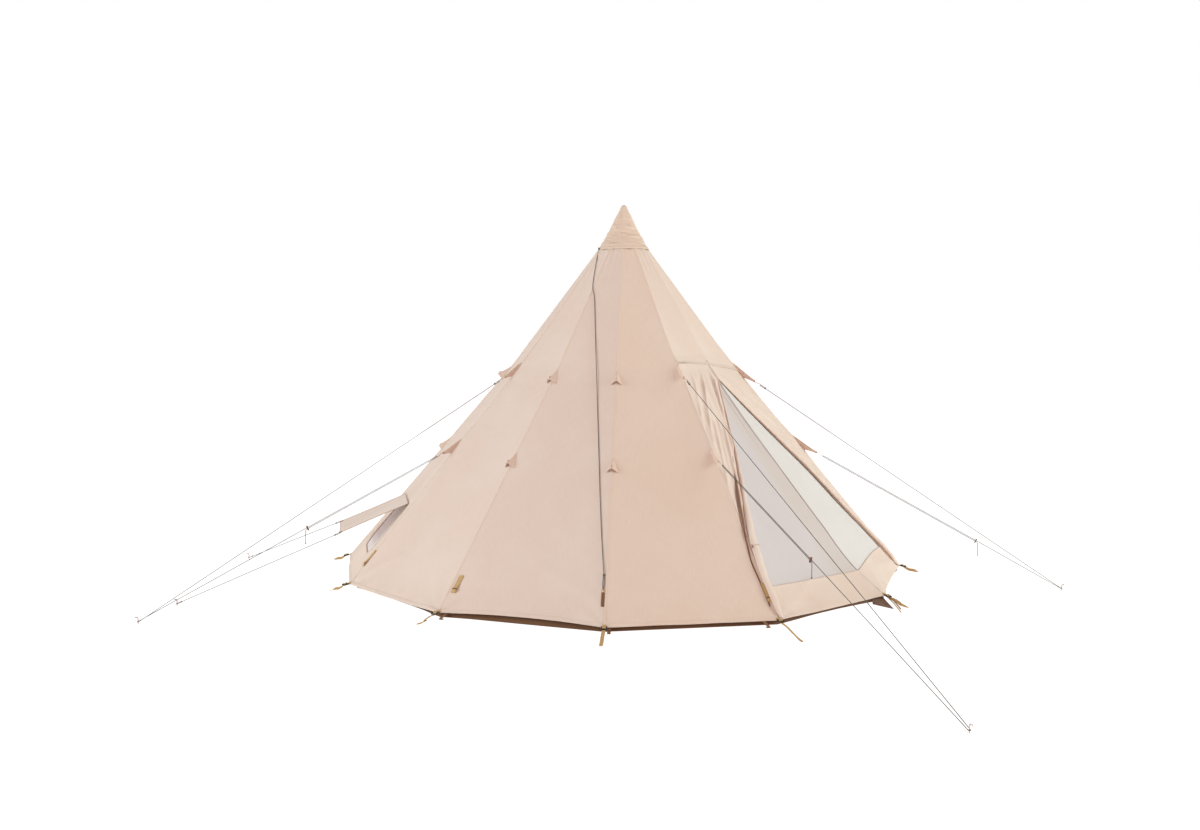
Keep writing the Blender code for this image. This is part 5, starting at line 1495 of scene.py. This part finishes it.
angle = np.linspace(-180, 180, 12 * 16 + 1)
radius, height = tray_profile()
turn, row = np.meshgrid(np.radians(angle), np.arange(len(radius)))
degrees = np.degrees(turn)
to_seam = np.abs(((degrees + 15) % 30) - 15)
flat_side = np.cos(radians(15)) / np.cos(np.radians(15 - to_seam))
wave = 0.003 * np.sin(turn * 23) + 0.002 * np.sin(turn * 41 + 1)
standing = np.clip((height[row] - 0.004) / TRAY_RIM_HEIGHT, 0, 1)
away = np.stack([np.sin(turn), -np.cos(turn), 0 * turn], -1)
at_corner = np.where(degrees < -100, 1.0, smoothstep((to_seam + 1) / 8))
drawn_in = TRAY_DRAWN_IN * np.exp(-((degrees + 115) / 27) ** 2) * at_corner
by_door = np.where(degrees > 0, 0.060, 0.022) * (degrees > -30) * (degrees < 30)
drawn_in = drawn_in + by_door * smoothstep(to_seam / 13)
reach = radius[row] * flat_side + wave * standing - drawn_in * smoothstep(radius[row] - 0.8)
ripple = 0.0012 * smoothstep(radius[row] / 0.6) * (1 + np.sin(turn * 9 + radius[row] * 11))
floor = (row < len(FLOOR_RADII)) * ripple
points = away * reach[..., None] + (height[row] + floor)[..., None] * UP
uv = np.stack([away[..., 0] * radius[row], away[..., 1] * radius[row] + height[row]], -1)
parts = [(lattice(points[::-1], uv[::-1]), ground_cloth)]
ground_tray = make_piece("ground_tray", parts, ("groundsheet",), 0.0012)
print("groundsheet is", 2 * TRAY_FLOOR_RADIUS, "m across")

# %% [markdown]
# Four seams carry guys. Where a guy pulls, a triangle of doubled canvas is sewn over the ridge, and
# the pull draws canvas and triangle out into a nose. The nose is a loft: a tall narrow oval at the
# seam that shrinks to a flat tongue, with a punched hole and a brown eyelet at its end.

# %% Guyed tabs
GUY_LABELS = {-30: "front_left", 30: "front_right", -120: "back_left", 120: "back_right"}
LEVELS = dict(zip(("upper", "lower"), TAB_HEIGHTS))
TONGUE = 0.0095
NOSE_START = 0.016


def guyed_tab(seam, centre):
    """Closed loft from the ridge to the eyelet, and a round prism for the hole."""
    origin, along = guy_line(seam, centre)
    slope = unit(seam_line(seam, centre + 0.05) - seam_line(seam, centre - 0.05))
    across = unit(np.cross(along, slope))
    upright = unit(np.cross(across, along))
    end = TAB_REACH[seam] + 0.012
    stations = np.concatenate([np.linspace(0, 0.94, 26), [0.965, 0.985, 1.0]])
    turn = np.linspace(0, 2 * pi, 33)
    rows = []
    for s in stations:
        tall = TONGUE + 0.060 * (1 - s) ** 2.1
        deep = 0.0013 + 0.0125 * (1 - s) ** 3.2
        if s > 0.94:
            tall = tall * (1 - ((s - 0.94) / 0.06) ** 2 * 0.45)
        stand = unit(slope * (1 - s) + upright * s)
        crease = 1 + 0.30 * (1 - s) * np.sin(7 * turn + seam) + 0.15 * (1 - s) * np.sin(13 * turn)
        oval = stand * (tall * np.cos(turn))[:, None] + across * (deep * crease * np.sin(turn))[:, None]
        droop = -0.0035 * sin(pi * s)
        rows.append(origin + along * (NOSE_START + s * (end - NOSE_START)) + UP * droop + oval)
    points = np.array(rows)
    uv = np.stack(np.broadcast_arrays(run_along(points[5])[None], (stations * end)[:, None]), -1)
    loft = capped(lattice(points, uv), len(turn))
    eyelet = origin + along * TAB_REACH[seam]
    circle = 2 * pi * np.arange(16) / 16
    hole = eyelet + (np.cos(circle)[:, None] * along + np.sin(circle)[:, None] * upright) * EYELET_RADIUS
    return loft, prism_through(hole, across, 0.02), ring(eyelet, across, 0.0054, 0.0017)


rings = []
for seam, label in GUY_LABELS.items():
    for level, centre in LEVELS.items():
        shape, hole, eyelet_ring = guyed_tab(seam, centre)
        # The tab takes the darker, painted-shade canvas.
        tab = make_piece("tab_%s_%s" % (label, level), [(shape, shaded_tab_canvas)])
        cut_holes(tab, [hole])
        rings.append((eyelet_ring, brown_metal))
make_piece("tab_eyelets", rings)
print(len(rings), "guyed tabs")

# %% [markdown]
# The other seams have the same tabs for stormy nights, unused here. They hang like small beaks: an
# upside-down V sewn over the ridge, whose loose lower edge stands out by its own stiffness.

# %% Spare tabs
SPARE_SEAMS = (-150, -90, -60, 60, 90, 150, 180)
SPARE_APEXES = (1.434, 0.914)
SPARE_DROP, SPARE_HALF, SPARE_STAND = 0.080, 0.036, 0.040


def seam_normal(seam, z):
    """Outward unit normal of a ridge."""
    rise = unit(seam_line(seam, z + 0.01) - seam_line(seam, z - 0.01))
    return unit(direction(seam) - rise * (direction(seam) @ rise))


def spare_tab(seam, apex, seed):
    """Beak of doubled canvas on a ridge, and the ring near its tip."""
    draw = np.random.default_rng(seed)
    lean, stand = draw.uniform(-0.006, 0.006), SPARE_STAND * draw.uniform(0.8, 1.1)
    q, s = np.meshgrid(np.linspace(-1, 1, 25), np.linspace(0, 1, 22))
    half = 0.004 + SPARE_HALF * s ** 0.9
    z = apex - s * SPARE_DROP * (1 + 0.10 * np.abs(q))
    ridge = (1 - np.abs(q) ** 1.25) * s ** 1.2
    flare = 0.12 * np.sin(5 * q + lean * 300) * s * (1 - np.abs(q))
    points = beside_seam(seam, q * half, z, 0.0018)
    points = points + seam_normal(seam, apex) * (stand * ridge * (1 + flare))[..., None]
    points = points + direction(seam + 90) * (lean * ridge)[..., None]
    uv = np.stack([q * half, s * SPARE_DROP * ALONG_SLOPE], -1)
    tip = points[17, 12]
    return slab(points[::-1], uv[::-1], 0.0016), ring(tip, direction(seam + 90), 0.0052, 0.0015, 18, 6)


for seam in SPARE_SEAMS:
    parts = []
    for row, apex in enumerate(SPARE_APEXES):
        shape, tip_ring = spare_tab(seam, apex, 50 + 2 * (seam + 180) + row)
        # Spare tabs take the darker, painted-shade canvas.
        parts += [(shape, shaded_tab_canvas), (tip_ring, brown_metal)]
    make_piece("spare_tabs_" + SEAMS[seam], parts)
print(len(SPARE_SEAMS) * len(SPARE_APEXES), "spare tabs")

# %% [markdown]
# Low on most seams a loop of golden webbing is sewn flat over the ridge. Each is a doubled strip,
# and its lower end, bound with brown tape, stands open as a loop for a storm peg.

# %% Webbing loops on the seams
LOOP_WIDTH = 0.027
LOOP_PLACE = (0.0, 0.240, 0.140)
LOOPS = {-120: LOOP_PLACE, -90: (0.038, 0.226, 0.134), -30: (-0.010, 0.218, 0.122),
         30: (0.012, 0.230, 0.130), **{seam: LOOP_PLACE for seam in (60, 90, 120, 150, 180)}}
LOOP_UNDER = [(0, 0.0036), (0.6, 0.0040), (0.85, 0.0044), (1, 0.0050)]
LOOP_OVER = [(0, 0.0060), (0.45, 0.0062), (0.72, 0.0095), (0.9, 0.0115), (1, 0.0066)]
LOOP_BAND = [(0, 0.0118), (1, 0.0118)]


def seam_patch(seam, shift, top, bottom, width, lifts, thickness, columns=9, rows=24):
    """Slab on a ridge; lifts is a table of height above the canvas against the share down it."""
    q, s = np.meshgrid(np.linspace(-0.5, 0.5, columns), np.linspace(0, 1, rows))
    z = top + s * (bottom - top)
    lift = curve_through(lifts, s)
    points = beside_seam(seam, shift + q * width, z, lift)
    uv = np.stack([q * width, s * (top - bottom) * ALONG_SLOPE], -1)
    return slab(points[::-1], uv[::-1], thickness)


parts = []
for seam, (shift, top, bottom) in LOOPS.items():
    under = seam_patch(seam, shift, top, bottom, LOOP_WIDTH, LOOP_UNDER, 0.0018)
    over = seam_patch(seam, shift, top - 0.002, bottom + 0.001, LOOP_WIDTH - 0.001, LOOP_OVER, 0.0018)
    low = bottom + 0.012
    band = seam_patch(seam, shift, low + 0.010, low, LOOP_WIDTH + 0.002, LOOP_BAND, 0.0012, rows=6)
    parts += [(under, webbing), (over, webbing), (band, brown_tape)]
make_piece("seam_loops", parts)
print(len(LOOPS), "webbing loops")

# %% [markdown]
# At each corner of the hem a buckle holds a strap that runs to a peg. Once the pegs are pulled the
# straps keep the twist they were pulled tight with. The buckle is a ladder lock: two rails and
# three bars in black plastic, with the webbing threaded over and under them.

# %% Corner straps
STRAP_WIDTH, STRAP_THICKNESS = 0.022, 0.0016
STRAPS = {"door": (0, 2.200, -3.5), "front_right": (30, 2.120, 28), "right_front": (60, 2.20, 60),
          "right": (90, 2.20, 90), "right_back": (120, 2.140, 119.5), "back_right": (150, 2.120, 149),
          "back": (180, 2.20, 180), "back_left": (-150, 2.112, -149), "left_back": (-120, 2.131, -119.5),
          "left": (-90, 2.202, -89.5), "left_front": (-60, 2.300, -60), "front_left": (-30, 2.375, -32.5)}
STRAP_TWISTS = {"door": 0.5, "front_right": 1.1, "left_back": 1.2, "back_left": -1.0, "left": 0.3,
                "left_front": 0.0, "front_left": -0.35, "back_right": 0.9, "right_back": -0.6}
BUCKLE_LENGTH, BUCKLE_WIDTH = 0.036, 0.034


def buckle(centre, away, side):
    """Ladder lock: rails along the strap and bars across it."""
    tilt = radians(-12)
    ahead = away * cos(tilt) + UP * sin(tilt)
    up = np.cross(side, ahead)
    up = up if up[2] > 0 else -up
    parts = []
    for edge in (-1, 1):
        rail = [centre + side * edge * (BUCKLE_WIDTH / 2 - 0.002) + ahead * BUCKLE_LENGTH * s
                for s in np.linspace(-0.5, 0.5, 7)]
        parts.append((tube(rail, 0.0036, 8, 1.3, up), black_plastic))
    for place, lift, radius in ((-0.42, 0.0, 0.0034), (-0.02, 0.0010, 0.0030), (0.42, 0.0004, 0.0044)):
        bar = [centre + ahead * BUCKLE_LENGTH * place + up * lift + side * s * (BUCKLE_WIDTH / 2 - 0.002)
               for s in np.linspace(-1, 1, 5)]
        parts.append((tube(bar, radius, 8, 0.8, up), black_plastic))
    return parts, ahead, up


def make_strap(label, corner, reach, swing):
    """Strap, buckle and the tongue of webbing that joins it to the hem."""
    start, finish = direction(corner) * CORNER_RADIUS, direction(swing) * reach
    length = np.linalg.norm(finish - start)
    away = (finish - start) / length
    side = np.cross(UP, away)
    place = 0.026
    centre = start + away * place + UP * (HEM_HEIGHT + 0.0030)
    parts, ahead, up = buckle(centre, away, side)
    top = HEM_HEIGHT + 0.004
    tail = max(length - 0.085, 0.58 * length)
    knots = [centre - ahead * 0.007 + up * 0.0046, centre + ahead * 0.003 + up * 0.0054,
             centre + ahead * 0.0135 - up * 0.0056]
    if length > 0.16:
        knots.append(start + away * (0.30 * length + 0.02) + UP * top * 0.66)
        knots.append(start + away * 0.62 * length + UP * top * 0.34)
    knots += [start + away * tail + UP * (0.0060 if length > 0.16 else 0.0090),
              start + away * (0.5 * tail + 0.5 * length) + UP * 0.0030, finish + UP * 0.0026]
    path = smooth_path(knots, 9)
    s = np.linspace(0, 1, len(path))
    twist = STRAP_TWISTS.get(label, 0.15) * smoothstep((s - 0.15) / 0.4) * smoothstep((1.02 - s) / 0.35)
    across = side * np.cos(twist)[:, None] + np.cross(away, side) * np.sin(twist)[:, None]
    width = STRAP_WIDTH * (1 - 0.12 * np.sin(pi * s) ** 2 * (abs(STRAP_TWISTS.get(label, 0)) > 0.8))
    width = width * (1 - 0.35 * smoothstep((s - 0.95) / 0.05))
    half_rise = 0.5 * width * np.abs(np.sin(twist)) + STRAP_THICKNESS + 0.0003
    path[:, 2] = np.maximum(path[:, 2], half_rise)
    parts.append((ribbon(path, across, width, STRAP_THICKNESS, 7, 0.0008), webbing))
    tongue = smooth_path([seam_line(corner, 0.044) + direction(corner) * 0.0035,
                          start + away * 0.006 + UP * 0.0335, centre - ahead * 0.0135 + up * 0.0046,
                          centre - ahead * 0.0192 - up * 0.0010, start + away * 0.004 + UP * 0.0270], 7)
    parts.append((ribbon(tongue, side, STRAP_WIDTH, STRAP_THICKNESS, 5), webbing))
    return make_piece("corner_strap_" + label, parts, ("strap_" + label,))


corner_straps = [make_strap(label, *where) for label, where in STRAPS.items()]
print(len(corner_straps), "corner straps")

# %% [markdown]
# The S-hooks link eyelet and rope. Their wire keeps the place it has in the frame, and each hook is
# turned about its own length, the way a loose hook hangs, so that its curl shows from the side.

# %% S-hooks
HOOK_BEND, HOOK_SPAN, HOOK_WIRE, HOOK_CURL = 0.0075, 0.045, 0.0016, 185.0
GAP = 0.0004
HOOK_ROLL = {"upper": 38.0, "lower": -34.0}


def hook_shift(seam):
    """Distance along a guy from its seam to the middle of its hook's inner bend."""
    return TAB_REACH[seam] + EYELET_RADIUS - HOOK_WIRE - GAP + HOOK_BEND


def make_hook(seam, level):
    """One S-hook of bent wire."""
    origin, along = guy_line(seam, LEVELS[level])
    side = unit(np.cross(UP, along))
    roll = radians(HOOK_ROLL[level])
    curl_side = side * cos(roll) + np.cross(along, side) * sin(roll)
    lean = np.arcsin(2 * HOOK_BEND / HOOK_SPAN)
    sweep = np.radians(np.linspace(HOOK_CURL, 0, 16))
    turn = lean - pi / 2 - sweep
    inner = np.stack([HOOK_BEND * np.cos(turn), HOOK_BEND * np.sin(turn)], 1)
    turn = lean + pi / 2 - sweep[::-1]
    outer = np.stack([HOOK_SPAN + HOOK_BEND * np.cos(turn), HOOK_BEND * np.sin(turn)], 1)
    flat = np.concatenate([inner, outer])
    start = origin + along * hook_shift(seam)
    path = start + flat[:, :1] * along + flat[:, 1:] * curl_side
    name = "hook_%s_%s" % (GUY_LABELS[seam], level)
    wire = tube(path, HOOK_WIRE, 10, hint=np.cross(along, side))
    return make_piece("s_" + name, [(wire, steel)], (name,))


hooks = [make_hook(seam, level) for seam in GUYED_SEAMS for level in LEVELS]
print(len(hooks), "S-hooks")

# %% [markdown]
# Each rope ends in a knot. The frame's ropes have a plain lump there, which a real overhand knot
# covers: a trefoil is its centre line, and a cord swept along it looks tied from every side.

# %% Knots
KNOT_REACH = 0.038
KNOT_SCALE, KNOT_CORD = 0.00195, 0.0019


def trefoil(centre, axis, scale, cord_radius):
    """Closed-looking knot of cord round a point."""
    axis, x, y = square_axes(axis)
    t = np.linspace(0, 2 * pi, 64)
    a, b, c = np.sin(t) + 2 * np.sin(2 * t), np.cos(t) - 2 * np.cos(2 * t), -np.sin(3 * t)
    path = centre + scale * (a[:, None] * x + b[:, None] * y + 1.3 * c[:, None] * axis)
    return tube(path, cord_radius, 8, hint=axis)


parts = []
for seam in GUYED_SEAMS:
    origin, along = guy_line(seam, TAB_HEIGHTS[0])
    knot = origin + along * (hook_shift(seam) + HOOK_SPAN + HOOK_BEND + KNOT_REACH)
    parts.append((trefoil(knot, along, KNOT_SCALE, KNOT_CORD), rope))
make_piece("guy_knots", parts)
print("knots of", len(GUYED_SEAMS), "guys tied, each about", round(6000 * KNOT_SCALE), "mm wide")

# %% [markdown]
# The cord that pulls the cap aside runs from the cap's rim down the outside of the canvas. Its way
# is a list of places on panels, with a smooth curve through them, so it lies on the cloth all along.

# %% Cap cord
CORD_SEAM, CORD_SHIFT = -60, -0.016
CAP_KNOT_ANGLE = -128.0
CORD_PATH = [(-105, 0.713, 2.082), (-75, 0.0, 1.990), (-75, 0.209, 1.906), (-75, 0.526, 1.634),
             (-75, 0.752, 1.250), (-75, 0.866, 0.894), (-75, 0.913, 0.674), (-75, 0.957, 0.430)]


rim = direction(CAP_KNOT_ANGLE) * (CAP_PROFILE[-1][0] + 0.006) + UP * RIM_HEIGHT
run = [canvas_at(middle, np.array(t), np.array(z), 0.0045) for middle, t, z in CORD_PATH]
foot = beside_seam(CORD_SEAM, CORD_SHIFT, 0.283, 0.0058)
cord = tube(smooth_path([rim, *run, foot], 10), 0.0021, 8)
make_piece("cap_cord", [(cord, rope)], ("vent_cord",))
print("cap cord runs over", len(CORD_PATH), "places of the canvas")

# %% [markdown]
# The cord ends low on the left front seam, doubled back through a brass ring on a brown tape and
# tied off. Its upper end is knotted at the cap's rim.

# %% Ends of the cap's cord
normal = seam_normal(CORD_SEAM, 0.2)
lifts = [(0, 0.0052), (0.3, 0.0036), (1, 0.0030)]
parts = [(seam_patch(CORD_SEAM, CORD_SHIFT, 0.196, 0.128, 0.020, lifts, 0.0018, 5), brown_tape)]
ring_at = beside_seam(CORD_SEAM, CORD_SHIFT, 0.203, 0.0065)
parts.append((ring(ring_at, normal, 0.0095, 0.0018), brass))
for lean in (-1, 1):
    z = np.array([0.285, 0.262, 0.235, 0.212])
    shift = CORD_SHIFT + lean * np.array([0.001, 0.0035, 0.0042, 0.0015])
    strand = beside_seam(CORD_SEAM, shift, z, np.array([0.0058, 0.0062, 0.0064, 0.0075]))
    parts.append((tube(smooth_path(strand, 6), 0.0022, 8), rope))
parts.append((trefoil(beside_seam(CORD_SEAM, CORD_SHIFT, 0.283, 0.0068), normal, 0.0021, 0.0020), rope))
rim = direction(CAP_KNOT_ANGLE) * (CAP_PROFILE[-1][0] + 0.004) + UP * (RIM_HEIGHT + 0.004)
parts.append((trefoil(rim, direction(CAP_KNOT_ANGLE), 0.0023, 0.0021), rope))
make_piece("cap_cord_ends", parts)
print("cap cord tied at", CORD_SEAM, "degrees")

# %% [markdown]
# Brown tape loops on the groundsheet's corners peep out below the hem, and by the door a corner of
# the sheet itself has slipped out, with two more strap tails beside it.

# %% Groundsheet corners
CORNER_LOOPS = (-88.6, -59.2, -32.6)
SLIPPED_CORNER = ((-3.3, 1.955, 0.016), (-0.2, 1.985, 0.020), (-5.0, 1.990, 0.004), (-6.0, 2.150, 0.004))
SPARE_TAILS = ((-7.4, 2.225, 0.006, webbing), (-5.4, 2.185, 0.012, brown_tape))

parts = []
for angle in CORNER_LOOPS:
    away, side = direction(angle), direction(angle + 90)
    path = smooth_path([away * 1.940 + UP * 0.030, away * 1.985 + UP * 0.024, away * 2.020 + UP * 0.012,
                        away * 2.036 + UP * 0.0035, away * 2.012 + UP * 0.0026], 6)
    parts.append((ribbon(path, side, 0.020, 0.0018, 5), brown_tape))
q, s = np.meshgrid(np.linspace(0, 1, 14), np.linspace(0, 1, 10))
a, b, c, d = (direction(angle) * reach + UP * z for angle, reach, z in SLIPPED_CORNER)
top = a + q[..., None] * (b - a)
low = c + q[..., None] * (d - c)
sheet_points = top + s[..., None] * (low - top)
sheet_points[..., 2] += 0.004 * np.sin(pi * s) * np.sin(5 * q + 1)
parts.append((slab(sheet_points[::-1], np.stack([q * 0.25, s * 0.1], -1)[::-1], 0.0015), ground_cloth))
start = direction(0) * 2.005 + UP * 0.028
for swing, reach, lift, look in SPARE_TAILS:
    finish = direction(swing) * reach
    middle = (start + finish) / 2 * np.array([1, 1, 0]) + UP * (0.014 + lift)
    path = smooth_path([start, middle, finish + UP * 0.0026], 12)
    parts.append((ribbon(path, direction(swing + 90), 0.014, 0.0015, 5), look))
make_piece("ground_corners", parts)
print(len(CORNER_LOOPS), "corner loops")

# %% [markdown]
# Ropes, runners, pegs, the awning's cords and the pole keep the measured model's own shape. They
# only need a finish, smooth shading and sharp edges where their faces turn by more than 40 degrees.

# %% Hard parts
FINISHES = (("guy_rope", rope), ("cord", rope), ("peg", steel), ("pole", pole_metal), ("slider", brown_metal))

finished = []
for name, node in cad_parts.items():
    for word, look in FINISHES:
        if word in name:
            node.data.materials.clear()
            node.data.materials.append(look)
            node.data.shade_smooth()
            node.data.set_sharp_from_angle(angle=radians(40))
            finished.append(name)
            break
print(len(finished), "pieces of the frame given a finish")
